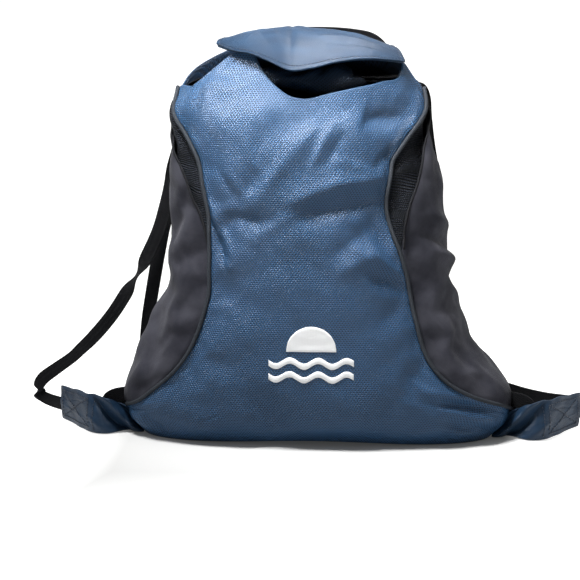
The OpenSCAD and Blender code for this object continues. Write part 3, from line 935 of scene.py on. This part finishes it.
def make_body_panel(node, rim, edges, middle, rows, columns):
    """The front or back panel. `edges(u, z)` gives the angle of each column."""
    u = np.sin(np.linspace(-1, 1, columns + 1) * PANEL_CROWDING) / math.sin(PANEL_CROWDING)
    t = np.linspace(0, 1, rows + 1)[:, None]
    z = t * rim(u)[None, :]
    u = np.broadcast_to(u, z.shape)
    angle = middle + edges(u, z)
    points = at_depth(angle, z, seam_dip(u, half_width(z)))
    outward = plain_point(angle[-1], z[-1], 5) - plain_point(angle[-1], z[-1])
    hem = hem_rows(points[-1], unit(outward * [1, 1, 0]))
    points = np.concatenate([points, hem])
    panel = grid_object(f"{node}_cloth", points, DOBBY, uv=panel_uv(angle, z, len(hem)))
    # The inner faces and the turned-in hem take the darkened copy: painted shade
    panel.data.materials.append(DOBBY_PAINTED_SHADE)
    first_inside = (rows + HEM_ROLL_STEPS // 2) * columns
    turned_in = np.arange(len(panel.data.polygons)) >= first_inside
    panel.data.polygons.foreach_set("material_index", turned_in.astype(int))
    cloth_layer(panel, FABRIC, inside=1)
    cloth_sheet(place(panel, "bag", node), points)


def front_edges(u, z):
    return u * np.where(u < 0, piping_angle(LEFT, z), piping_angle(RIGHT, z))


def back_edges(u, z):
    return u * (180 - back_seam_angle(z))


def make_base_panel():
    turns = np.linspace(-180, 180, 96, endpoint=False)
    edge = surface(turns, np.zeros_like(turns))
    centre = np.array([0.0, 0.0, 0.6])
    shares = np.array([1.0, 0.97, 0.9, 0.75, 0.55, 0.35, 0.15, 0.02])
    rings = centre + (edge - centre) * shares[:, None, None]
    rings[..., 2] = 0.4 + (edge[:, 2] * shares[:, None] ** 3)
    cloth_piece("base_panel", "cloth", rings, DOBBY, FABRIC, offset=1.0, closed_columns=True)


def side_grid(side, z, from_angle, to_angle, columns):
    u = np.linspace(0, 1, columns + 1)
    z = np.broadcast_to(z[:, None], (len(z), columns + 1))
    angle = from_angle[:, None] + (to_angle - from_angle)[:, None] * u
    if side == LEFT:
        angle, u = angle[:, ::-1], u[::-1]
    return side * angle, z, np.broadcast_to(u, z.shape)


SIDE_PANEL_Z = (26.5, 281)
LINING_Z = (62, 293)
LINING_T = 0.9
LINING_DEPTH, LINING_SLACK = 1.6, 7.5
# Heights over which the mesh comes out level with the bag's side
LINING_SHALLOW = {LEFT: (228, 258), RIGHT: (252, 280)}
# The free edge stands out from the pocket, over this width and these heights
POCKET_LIP, POCKET_LIP_WIDTH = 2.0, 16.0
POCKET_LIP_Z, POCKET_FREE_Z = (165, 215), (165, 190)


def make_side_panel(side):
    """The charcoal wall, whose free edge is the pocket's opening."""
    z = np.linspace(*SIDE_PANEL_Z, 76)
    angle, z, u = side_grid(side, z, pocket_angle(side, z), back_seam_angle(z), 34)
    dip = seam_dip(2 * u - 1, half_width(z) * 0.5)
    dip = dip * (1 - smoothstep(*POCKET_FREE_Z, z) * (u < 0.5))
    lip = np.exp(-((u * half_width(z)) / POCKET_LIP_WIDTH) ** 2) * smoothstep(*POCKET_LIP_Z, z)
    points = at_depth(angle, z, dip + POCKET_LIP * lip)
    node = f"side_panel_{SIDE_NAME[side]}"
    cloth_sheet(cloth_piece(node, "cloth", points, CHARCOAL, FABRIC), points)


def make_pocket_lining(side):
    """The mesh wall, level with the seam at the piping and deeper behind."""
    low, high = LINING_Z
    z = np.linspace(low, high, 70)
    angle, z, u = side_grid(side, z, piping_angle(side, z), back_seam_angle(z), 30)
    share = 4 * (z - low) / (high - low)
    slack = np.clip(share, 0, 1) * np.clip(4 - share, 0, 1)
    slack = slack * (1 - smoothstep(*LINING_SHALLOW[side], z))
    slack = slack * np.sin(math.pi * np.clip(u, 0, 1)) ** 1.5
    points = at_depth(angle, z, -LINING_DEPTH - LINING_SLACK * slack)
    node = f"pocket_lining_{SIDE_NAME[side]}"
    cloth_sheet(cloth_piece(node, "cloth", points, MESH, LINING_T), points)


def make_seam_cord(side, node, kind, angle_of, z_range, count, lift, *section):
    """A cord or tape along a seam. The section is as tube() takes it."""
    z = np.linspace(*z_range, count)
    angle = side * angle_of(side, z)
    path, normals = at_depth(angle, z, np.full(count, lift)), surface_normal(angle, z)
    for _ in range(SEAM_SMOOTHING):
        for line in (path, normals):
            line[1:-1] = (line[:-2] + 2 * line[1:-1] + line[2:]) / 4
    node = f"{node}_{SIDE_NAME[side]}"
    place(tube(f"{node}_{kind}", path, unit(normals), *section), "bag", node)


make_body_panel(
    "front_panel", lambda u: smooth_table(u, FRONT_RIM), front_edges, 0, 92, 100
)
make_body_panel(
    "back_panel", lambda u: smooth_table(-u, BACK_RIM), back_edges, 180, 80, 80
)
make_base_panel()
for side in (LEFT, RIGHT):
    make_side_panel(side)
    make_pocket_lining(side)
    make_seam_cord(side, "piping", "cord", piping_angle, (25, 295), 150, 0.9, 1.7, 12, PIPING_CLOTH)
    make_seam_cord(
        side, "pocket_binding", "tape", pocket_angle, (168, 279), 90, 1.4, 1.15, 10, BINDING, 0.8
    )


# ---- Mouth: casings and drawcord loops --------------------------------------

CASING_X = (-50.0, 36.0)
CASING_Y = 18.0
CASING_HALF_W = 9.3
CASING_Z = 303.0
# A casing's height above and below its cords, along x
CASING_TOP = [
    [-56, 4.2], [-44, 6.5], [-26, 6.0], [-10, 5.2], [4, 7.5], [14, 10.5], [21, 8.0],
    [27, 4.5], [40, 3.6],
]
CASING_BOTTOM = [[-56, 6], [-30, 6], [-12, 9], [0, 12.5], [20, 12.5], [30, 9], [40, 5]]
CASING_PAST = (4.0, 3.0)
CASING_SLANT = 12.0
CORD_W, CORD_T = 12.0, 1.6
CORD_Z = {LEFT: 304.5, RIGHT: 301.5}
CORD_PULL = 12.0
LEG_OUT = 8.0
# Where each drawcord's legs leave the casings, and where its bend begins
EXIT_X = {LEFT: CASING_X[0] - LEG_OUT, RIGHT: CASING_X[1] + LEG_OUT}
BEND_X = {LEFT: CASING_X[1] + CORD_PULL, RIGHT: CASING_X[0] - CORD_PULL}


def make_casing(face, node):
    """A gathered tunnel of cloth that a drawcord runs through."""
    turn = np.linspace(0, 2 * math.pi, 36, endpoint=False)[None, :]
    left, right = CASING_X[0] - CASING_PAST[0], CASING_X[1] + CASING_PAST[1]
    right_end = right - CASING_SLANT * smoothstep(-0.2, 0.9, np.sin(turn))
    x = left + np.linspace(0, 1, 130)[:, None] * (right_end - left)
    ends = smoothstep(left, left + 14, x) * smoothstep(right, right - 15, x)
    slant = x * 0.42 - 9 * np.sin(turn)
    pleat = ends * (
        1.5 * np.sin(slant / 2.1 + 1.3 * np.sin(x / 11)) * smoothstep(-0.4, 0.6, np.sin(turn))
        + 0.6 * ripples(x, turn * 8, 9, 5, 31 + face)
    )
    top = np.where(np.sin(turn) > 0, smooth_table(x, CASING_TOP), smooth_table(x, CASING_BOTTOM))
    wide = CASING_HALF_W - 1.6 * (1 - ends)
    y = face * CASING_Y + (wide + pleat * 0.5) * signed_power(np.cos(turn), 0.8)
    z = CASING_Z + (top + pleat) * signed_power(np.sin(turn), 0.8)
    points = np.stack([x + 0 * turn, y, z], axis=-1)
    # The casing takes the darkened copy of the cloth: painted shade under the flap
    casing = grid_object(f"{node}_cloth", points, DOBBY_PAINTED_SHADE, closed_columns=True)
    cloth_layer(casing, 0.8, offset=1.0)
    place(casing, "bag", node, slot="navy_dobby")


def make_drawcord_loop(side):
    """Two legs in the casings and the bend past their far end."""
    leg = np.linspace(EXIT_X[side], BEND_X[side], 24)[:-1]
    turn = np.radians(np.linspace(-90, 90, 25))
    x = np.concatenate([leg, BEND_X[side] - side * CASING_Y * np.cos(turn), leg[::-1]])
    y = np.concatenate([0 * leg - CASING_Y, CASING_Y * np.sin(turn), 0 * leg + CASING_Y])
    path = np.stack([x, y, 0 * x + CORD_Z[side]], -1)
    node = f"drawcord_loop_{SIDE_NAME[side]}"
    loop = ribbon(f"{node}_webbing", path, np.array([0.0, 0.0, 1.0]), CORD_W, CORD_T)
    place(loop, f"drawcord_{SIDE_NAME[side]}", node)


make_casing(-1, "casing_front")
make_casing(1, "casing_back")
for side in (LEFT, RIGHT):
    make_drawcord_loop(side)


# ---- Free strands -----------------------------------------------------------

STRANDS = {
    "strand_left_a": [
        [-65, -18, 304.5], [-74, -15.5, 304.5], [-87, -10, 304.5],
        [-98, -3, 301.2], [-107.5, 5, 296.2], [-115.5, 14, 288.5],
        [-119.5, 22, 279], [-121, 29, 260], [-125, 35, 238], [-130, 39, 213],
        [-136, 42, 188], [-142, 42, 168], [-151, 41, 148], [-162, 40, 127],
        [-172, 39, 111], [-183, 38.5, 94], [-194, 38, 80], [-205, 37, 68],
        [-214, 36, 59.5], [-222, 35, 52], [-236, 34, 42], [-249, 34, 32],
        [-254, 36, 22], [-250, 37, 15], [-241, 31, 13], [-231, 22.5, 13],
        [-226.2, 17.6, 13],
    ],
    "strand_left_b": [
        [-65, 18, 304.5], [-74, 15, 304.5], [-85, 11.5, 304.5], [-95, 12, 304],
        [-103.5, 17, 301.6], [-109, 26, 292.5], [-111, 35, 278], [-113, 44, 260],
        [-116, 52, 238], [-122, 57, 213], [-131, 59, 190], [-139, 59, 172],
        [-144.5, 58.5, 147], [-148.5, 58, 126], [-152.5, 58, 104],
        [-156, 58, 84], [-158, 57, 66], [-159, 55, 48], [-161, 49, 34],
        [-166, 39, 24], [-173, 26, 17], [-181, 9, 14], [-189, -5, 13.5],
        [-196, -13, 13],
    ],
    "strand_right_a": [
        [51, -18, 301.5], [58, -15.5, 301.5], [68, -9, 301.2], [76, -2, 300],
        [83.5, 6, 297.4], [89, 16, 288.5], [92, 26, 276], [94, 34, 258],
        [96, 42, 236], [98, 49, 208], [101, 55, 178], [104, 59, 146],
        [108, 61, 112], [114, 62, 80], [124, 62, 54], [140, 62, 36],
        [160, 61, 25], [182, 59, 18], [204, 56, 14], [226, 52, 12.5],
        [242, 45, 12], [245, 36, 13], [240, 29.5, 13], [231, 22.5, 13],
        [226.2, 17.6, 13],
    ],
    "strand_right_b": [
        [51, 18, 301.5], [58, 14, 301.5], [67, 11, 301.5], [76, 14, 301],
        [80.5, 24, 292], [80.5, 35, 277], [82, 44, 259], [83, 52, 236],
        [84, 59, 206], [86, 64, 174], [88, 67, 142], [91, 69, 110], [97, 69, 80],
        [106, 67, 54], [120, 61, 34], [138, 50, 21], [156, 37, 15],
        [172, 24, 13.5], [184, 9, 13], [191, -5, 13], [196, -13, 13],
    ],
}
# Where each strand twists: height of the twist, its spread and its angle
STRAND_TWISTS = {
    "strand_left_a": [(126, 12, 82), (52, 22, 40)],
    "strand_left_b": [(64, 22, 34)],
    "strand_right_a": [(150, 40, 30)],
    "strand_right_b": [(120, 40, -30)],
}
# Between these heights a strand's face turns from the bag's side to its back
STRAND_FACES_BACK = (262, 205)
STRAND_T = 1.5
STRAND_AXIS_Y = 8.0
STRAND_GAP = 0.6


def strand_side(name):
    return LEFT if "left" in name else RIGHT


def strand_normals(name, path):
    """The webbing's face: up over the rim, then away from the bag, with twists."""
    away = np.column_stack([path[:, 0] / 2, path[:, 1] - STRAND_AXIS_Y, 0 * path[:, 0] + 0.01])
    up = np.clip((path[:, 2] - 270) / 30, 0, 1)[:, None]
    normals = unit(unit(away) * (1 - up) + np.array([0, 0, 1.0]) * up)
    back = smoothstep(*STRAND_FACES_BACK, path[:, 2])[:, None]
    along = unit(np.gradient(path, axis=0))
    level = strand_side(name) * np.cross([0.0, 0.0, 1.0], along)
    normals = unit(normals * (1 - back) + (level + np.array([0, 0.15, 0.008])) * back)
    across = unit(np.cross(along, normals))
    out = np.cross(across, along)
    angle = np.zeros(len(path))
    for height, spread, degrees in STRAND_TWISTS[name]:
        angle += math.radians(degrees) * np.exp(-((path[:, 2] - height) / spread) ** 2)
    return out * np.cos(angle)[:, None] + across * np.sin(angle)[:, None]


def make_strand(name):
    side = strand_side(name)
    face = -1 if name.endswith("a") else 1
    start = [EXIT_X[side] + side * STRAND_GAP, face * CASING_Y, CORD_Z[side]]
    path = smooth_path([start] + STRANDS[name], 7)
    strand = ribbon(f"{name}_webbing", path, strand_normals(name, path), CORD_W, STRAND_T)
    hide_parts(name)
    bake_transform(strand)


for name in STRANDS:
    make_strand(name)


# ---- Flap -------------------------------------------------------------------

# Across the flap, left to right: u, then x, y, z on the hinge, crest and edge
FLAP_U = [-1, -0.8, -0.55, -0.3, -0.12, 0.1, 0.35, 0.6, 0.82, 1]
FLAP_HINGE = [
    (-66, 23, 331), (-52, 25, 332), (-38, 26, 333), (-24, 26, 333), (-12, 26, 333),
    (2, 26, 333), (18, 26, 332), (34, 25, 331), (48, 23, 330), (60, 19, 329),
]
FLAP_CREST = [
    (-79, -3, 335), (-64, -4, 339.5), (-50, -4, 342), (-33, -4, 343.5), (-22, -4, 343.5),
    (-6, -4, 342.5), (14, -3, 341), (34, -3, 337.5), (50, -3, 332), (66, -2, 326),
]
FLAP_EDGE = [
    (-84, -12, 331), (-71, -24, 326.5), (-54, -34, 324), (-38, -42, 318), (-22, -50, 311.5),
    (-4, -46, 313), (15, -40, 317.5), (36, -35, 320), (54, -29, 319.5), (71, -20, 317.5),
]
# Folds on it, as in the body: x0, y0, x1, y1, width, height
FLAP_FOLDS = [
    (2, -14, 62, -14, 2.6, 1.6), (8, -22, 64, -20, 3.2, -1.4), (-46, 0, -60, -24, 3.5, 1.2),
    (-50, -8, -34, -36, 3.5, -1.1), (-40, -4, -28, -34, 3, 1.0), (30, -26, 66, -18, 2.6, 1.4),
    (-8, 2, 10, -34, 4, -0.9), (12, 0, 66, -8, 2.4, 1.0),
]
# Its middle crease, and the soft ridges at both sides of it: x, width, height
FLAP_CREASE = [(-22, 1.8, -0.9), (-27, 3.2, 0.5), (-16, 4.0, 0.4)]
FLAP_T, FACING_T = 1.1, 0.8
FACING_DROP, FACING_SHARE = 1.6, 0.985
# The stitch line runs just inside the edges, in a shallow groove
STITCH_U, STITCH_V = 0.965, 0.962
# The flap's sewn root on the bag: past the rim's outside, then up to the hinge
FLAP_ROOT_U = 0.97
FLAP_ROOT = [(0.5, -5.0), (0.5, -2.0), (0.5, 0.3), (0.0, 1.7)]
FLAP_ROOT_TOP = [0, 0.6, -1.6]
# Where the search for the rim's height along the root starts
FLAP_ROOT_RIM = 322.5


def flap_surface(u, v, drop=0.0):
    """v is 0 at the hinge, 0.5 at the crest and 1 at the front edge."""
    def line(rows):
        columns = ([[at, row[k]] for at, row in zip(FLAP_U, rows)] for k in range(3))
        return np.stack([smooth_table(u, column) for column in columns], -1)
    inside = np.sin(math.pi * np.clip(v, 0, 1)) ** 0.7
    groove = 0.45 * np.exp(-((v - STITCH_V) / 0.012) ** 2)
    v = v[..., None]
    p = (
        line(FLAP_HINGE) * (1 - v) * (1 - 2 * v)
        + line(FLAP_CREST) * 4 * v * (1 - v)
        + line(FLAP_EDGE) * v * (2 * v - 1)
    )
    x, y = p[..., 0], p[..., 1]
    lift = 0.35 * ripples(x, y * 1.4, 26, 6, 5) + fold_sum(FLAP_FOLDS, x, y)
    for centre, width, height in FLAP_CREASE:
        lift = lift + height * np.exp(-((x - centre) / width) ** 2)
    p[..., 2] += lift * inside - groove - drop
    return p


def flap_grid(rows, columns, drop=0.0, share=1.0):
    u = np.linspace(-share, share, columns + 1)[None, :]
    v = np.linspace(0, share, rows + 1)[:, None]
    return flap_surface(*np.broadcast_arrays(u, v), drop)[::-1]


def make_flap():
    for node, thickness, points in (
        ("flap", FLAP_T, flap_grid(54, 96)),
        ("flap_facing", FACING_T, flap_grid(40, 64, FACING_DROP, FACING_SHARE)),
    ):
        cloth_sheet(cloth_piece(node, "cloth", points, SATIN, thickness, "flap"), points)


def make_flap_stitching():
    """A row of stitches just inside the flap's two sides and front edge."""
    down, over = np.linspace(0.12, STITCH_V, 40), np.linspace(-STITCH_U, STITCH_U, 120)
    u = np.concatenate([0 * down - STITCH_U, over, 0 * down + STITCH_U])
    v = np.concatenate([down, 0 * over + STITCH_V, down[::-1]])
    path = flap_surface(u, v)
    step = 0.01
    along = flap_surface(np.clip(u + step, -1, 1), v) - flap_surface(np.clip(u - step, -1, 1), v)
    normals = unit(np.cross(flap_surface(u, v + step) - flap_surface(u, v - step), along))
    normals = normals * np.sign(normals[:, 2:3])
    row = stitches("flap_stitching", path + normals * 0.12, normals, 2.2, 1.0, 0.3)
    place(row, "flap", slot="navy_satin")


def make_flap_root():
    """A satin strip from the back panel's rim up to the flap's hinge line."""
    u = np.linspace(-FLAP_ROOT_U, FLAP_ROOT_U, 70)
    hinge = flap_surface(u, np.zeros_like(u))
    x = hinge[:, 0]
    rim = np.full_like(x, FLAP_ROOT_RIM)
    for _ in range(3):
        rim = rim_height(back_angle(x, rim))
    outside = surface(back_angle(x, rim), rim)[:, 1]
    rows = [np.column_stack([x, outside + out, rim + up]) for out, up in FLAP_ROOT]
    rows = smooth_path(np.array(rows + [hinge + FLAP_ROOT_TOP]), 4)
    strip = grid_object("flap_root_cloth", rows, SATIN)
    cloth_layer(strip, 0.7, offset=0.0)
    place(strip, "bag")


make_flap()
make_flap_stitching()
make_flap_root()


# ---- Haul loop --------------------------------------------------------------

HAUL_Y = 40.0
HAUL_W = 11.0
HAUL_ROOT_Z = (288.0, 297.0)
HAUL_PATH = [
    [-49.5, 0, 308.5], [-49.5, 0, 316], [-47, 0, 328], [-39, 0, 335.5], [-26, 0, 338],
    [-8, 0, 338.5], [12, 0, 338.2], [30, 0, 336.5], [43, 0, 333.5], [52, 0, 326],
    [55, 0, 316], [55.5, 0, 308.5],
]


def make_haul_loop():
    """A band bent flat into an arch, its two ends sewn down."""
    path = smooth_path(HAUL_PATH, 8)
    path[:, 1] = HAUL_Y + 0.8 * np.sin(path[:, 0] / 19 + 0.6)
    band = ribbon("haul_loop_webbing", path, unit(np.array([0.0, 1.0, 0.12])), HAUL_W, 1.9)
    place(band, "haul_loop", "haul_loop")


def make_haul_anchors():
    """The loop's sewn roots: webbing from the back panel up to the hinge line."""
    roots = []
    for x in (HAUL_PATH[0][0], HAUL_PATH[-1][0]):
        low, high = (float(surface(back_angle(x, z), z)[1]) for z in HAUL_ROOT_Z)
        path = smooth_path([
            [x, low + 1.0, HAUL_ROOT_Z[0]], [x, high + 1.3, HAUL_ROOT_Z[1]],
            [x, (high + HAUL_Y) / 2 + 0.6, 303.4], [x, HAUL_Y - 1.4, 306.6], [x, HAUL_Y - 0.6, 309],
        ], 6)
        roots.append(ribbon("haul_root", path, unit(np.array([0.0, 1.0, -0.4])), HAUL_W, 1.5))
    place(join("haul_anchor_webbing", roots), "bag")


make_haul_loop()
make_haul_anchors()


# ---- Corner tabs ------------------------------------------------------------

TAB_PATH = [
    [150, -16], [158, -17], [167, -18], [182, -26], [193, -24], [205, -11], [217, 5], [228, 18],
]
TAB_T, TAB_BACKING_T = 1.1, 1.3
# Height of the tab's upper edge along it, from its root in the corner
TAB_TOP = [[0, 15], [0.1, 20], [0.22, 27], [0.34, 33], [0.6, 34], [1, 30.5]]
# Folds at the root: s0, h0, s1, h1, width in s, height towards the front
TAB_FOLDS = [
    (0.02, 0.0, 0.33, 1.0, 0.055, 5.0), (0.13, 0.0, 0.44, 0.92, 0.055, -4.6),
    (-0.04, 0.15, 0.2, 1.0, 0.05, -4.0), (0.3, 0.0, 0.46, 0.4, 0.05, 1.6),
    (0.5, 0.3, 0.9, 0.42, 0.06, 0.5), (0.55, 0.75, 0.98, 0.62, 0.06, -0.5),
]


def tab_plan(s):
    """The tab's plan path at share s of its length, and its normal."""
    path = smooth_path([[x, y, 0] for x, y in TAB_PATH], 12)[:, :2]
    distance = running(path)
    at = s * distance[-1]
    x, y = np.interp(at, distance, path[:, 0]), np.interp(at, distance, path[:, 1])
    direction = unit(np.gradient(path, axis=0))
    nx = np.interp(at, distance, -direction[:, 1])
    ny = np.interp(at, distance, direction[:, 0])
    return x, y, nx, ny


def tab_surface(side, s, h, behind):
    """s runs out along the tab and h up it; `behind` is towards the back."""
    x, y, nx, ny = tab_plan(s)
    relief = np.zeros(np.shape(s))
    for s0, h0, s1, h1, width, height in TAB_FOLDS:
        t = (h - h0) / (h1 - h0)
        inside = smoothstep(-0.15, 0.1, t) * smoothstep(1.25, 0.9, t)
        relief = relief + height * inside * np.exp(-((s - s0 - (s1 - s0) * t) / width) ** 2)
    root = smoothstep(0.5, 0.1, s)
    wrinkle = 0.45 * ripples(s * 90, h * 34, 15, 6, 21) * (0.5 + root)
    bow = 1.2 * np.sin(math.pi * h) * (1 - root)
    off = behind - bow - relief - wrinkle
    top = smooth_table(s, TAB_TOP)
    z = 0.9 + (top - 0.9) * h + 0.5 * np.sin(s * 21) * h
    return np.stack([side * (x + nx * off), y + ny * off, np.maximum(z, 0.7)], -1)


def tab_backing_surface(side, s, h):
    """Black webbing behind the tab, which shows above it near its root."""
    x, y, nx, ny = tab_plan(s)
    off = 2.8 + 6.0 * smoothstep(0.58, 0.4, s)
    top = smooth_table(s, [[0, 42], [0.14, 38], [0.24, 36.5], [0.4, 29], [1, 29]])
    z = 1.2 + (top - 1.2) * h
    return np.stack([side * (x + nx * off), y + ny * off, z], -1)


def make_corner_tab(side):
    s, h = np.meshgrid(np.linspace(0, 1, 90), np.linspace(0, 1, 40))
    points = tab_surface(side, s, h, 0.0)
    cloth_piece(f"corner_tab_{SIDE_NAME[side]}", "cloth", points, SATIN, TAB_T, offset=0.0)
    s, h = np.meshgrid(np.linspace(0.1, 0.985, 60), np.linspace(0.0, 1, 22))
    points = tab_backing_surface(side, s, h)
    node = f"tab_backing_{SIDE_NAME[side]}"
    cloth_piece(node, "webbing", points, WEBBING, TAB_BACKING_T, offset=0.0)


def tab_line(side, corners):
    """A row of stitches on the tab's face through (s, h) corners."""
    corners = np.array(corners)
    t = np.linspace(0, 1, 24)[:, None]
    spans = [a + (b - a) * t for a, b in zip(corners[:-1], corners[1:])]
    s, h = np.concatenate(spans).T
    path = tab_surface(side, s, h, -TAB_T / 2 - 0.2)
    _, _, nx, ny = tab_plan(s)
    normals = np.column_stack([-side * nx, -ny, 0 * nx])
    return stitches("tab_row", path, normals, 2.2, 0.9, 0.36)


# The box and cross that hold the strands in the tab, and the row at its root
TAB_ROWS = [
    [(0.5, 0.12), (0.96, 0.12), (0.96, 0.88), (0.5, 0.88), (0.5, 0.12)],
    [(0.5, 0.12), (0.96, 0.88)], [(0.5, 0.88), (0.96, 0.12)], [(0.44, 0.08), (0.44, 0.92)],
]


def make_tab_stitching(side):
    rows = [tab_line(side, corners) for corners in TAB_ROWS]
    place(join(f"tab_stitching_{SIDE_NAME[side]}", rows), "bag", slot="navy_satin")


for side in (LEFT, RIGHT):
    make_corner_tab(side)
    make_tab_stitching(side)


# ---- Mark on the front ------------------------------------------------------

MARK_X, MARK_Z = -3.0, 84.0
SUN_RADIUS = 20.0
WAVE_HALF, WAVE_THICK = 34.0, 5.0


def mark_strip(name, half, low, high, columns, rows):
    """A raised satin-stitch shape between two heights over x."""
    w = np.linspace(-1, 1, columns + 1)[None, :]
    t = np.linspace(0, 1, rows + 1)[:, None]
    x = MARK_X + half * w + 0 * t
    z = MARK_Z + low(w) + (high(w) - low(w)) * t
    edge = np.minimum(np.minimum(t, 1 - t) * rows / 2, np.minimum(1 + w, 1 - w) * columns / 4)
    puff = 0.25 + 0.6 * np.sqrt(np.clip(edge, 0, 1))
    points = at_depth(front_angle(x, z), z, puff)
    obj = grid_object(name, points, WHITE_THREAD, uv=np.stack([x, z], -1) * MM)
    add_modifier(obj, "SOLIDIFY", thickness=0.5 * MM, offset=-1.0)
    apply_modifiers(obj)
    return obj


def wave_strip(name, top):
    def edge(drop):
        return lambda w: 2.4 * np.sin(3 * math.pi * w) - drop
    return mark_strip(name, WAVE_HALF, edge(top + WAVE_THICK), edge(top), 96, 6)


def make_mark():
    sun = mark_strip(
        "mark_sun", SUN_RADIUS, lambda w: 2 + 0 * w,
        lambda w: 2.6 + SUN_RADIUS * np.sqrt(np.clip(1 - w * w, 0, 1)), 60, 24,
    )
    waves = [wave_strip("mark_wave_high", 5), wave_strip("mark_wave_low", 16)]
    place(join("mark_embroidery", [sun, *waves]), "bag", "emblem")


make_mark()


# ---- Floor, light -----------------------------------------------------------

FLOOR_HALF = 40.0
FLOOR_PAINT = {
    "Base Color": (0.5, 0.5, 0.495, 1), "Roughness": 0.8, "Specular IOR Level": 0.1,
    "Emission Color": (1, 1, 0.99, 1),
}
# The floor's glow near the bag, and where it grows: from, to, low, high, in metres
GLOW_BEHIND = (-0.02, 0.12, 0.04, 0.85)
GLOW_BESIDE = (0.15, 0.22, 0.0, 0.95)
GLOW_BEFORE = (-0.26, -0.1, 0.75, 0.0)
# Sky strength by direction: the room in front is dim, the wall behind bright
SKY_COLOR = (1.0, 1.0, 0.995, 1)
SKY_DEPTH = (-0.3, 0.5, 0.04, 1.05)
SKY_TOP = (0.35, 0.9, 0.0, 0.3)


def make_floor():
    """A lit sweep whose glow is painted light: it glows all round the bag, and hardly under it,
    washing out the bag's cast shadow beside and behind it.
    """
    material = bpy.data.materials.new("floor_paint")
    material.use_nodes = True
    tree = material.node_tree
    inputs = tree.nodes["Principled BSDF"].inputs
    for key, value in FLOOR_PAINT.items():
        inputs[key].default_value = value
    x, y, _ = coordinates(tree, tree.nodes.new("ShaderNodeTexCoord"), "Object")
    glow = math_node(
        tree, "MAXIMUM", ramp(tree, y, *GLOW_BEHIND),
        ramp(tree, math_node(tree, "ABSOLUTE", x), *GLOW_BESIDE),
    )
    glow = math_node(tree, "MAXIMUM", glow, ramp(tree, y, *GLOW_BEFORE))
    tree.links.new(glow, inputs["Emission Strength"])
    corners = np.array([(-1, -1, 0), (1, -1, 0), (1, 1, 0), (-1, 1, 0)]) * FLOOR_HALF / MM
    floor = mesh_object("floor", corners, [(0, 1, 2, 3)])
    floor.data.materials.append(material)


def make_world():
    world = bpy.data.worlds.new("studio")
    world.use_nodes = True
    tree = world.node_tree
    sky = tree.nodes["Background"].inputs
    sky["Color"].default_value = SKY_COLOR
    _, y, z = coordinates(tree, tree.nodes.new("ShaderNodeTexCoord"), "Generated")
    strength = math_node(tree, "ADD", ramp(tree, y, *SKY_DEPTH), ramp(tree, z, *SKY_TOP))
    tree.links.new(strength, sky["Strength"])
    bpy.context.scene.world = world


def make_area_light(name, place_at, aim, size, watts, spread):
    data = bpy.data.lights.new(name, "AREA")
    data.shape = "DISK"
    data.size, data.energy, data.spread = size, watts, math.radians(spread)
    light = link(bpy.data.objects.new(name, data))
    light.location = place_at
    direction = Vector(aim) - Vector(place_at)
    light.rotation_euler = direction.to_track_quat("-Z", "Y").to_euler()
    return light


make_floor()
make_world()
make_area_light("top_light", (-0.15, -0.19, 0.78), (0, -0.01, 0.32), 0.2, 2.8, 72)
sheen_light = make_area_light(
    "sheen_light", (-0.22, -0.6, 0.95), (0, -0.02, 0.31), 0.34, 1.2, 26
)
sheen_light.visible_diffuse = False
bpy.context.scene.view_settings.view_transform = "Standard"
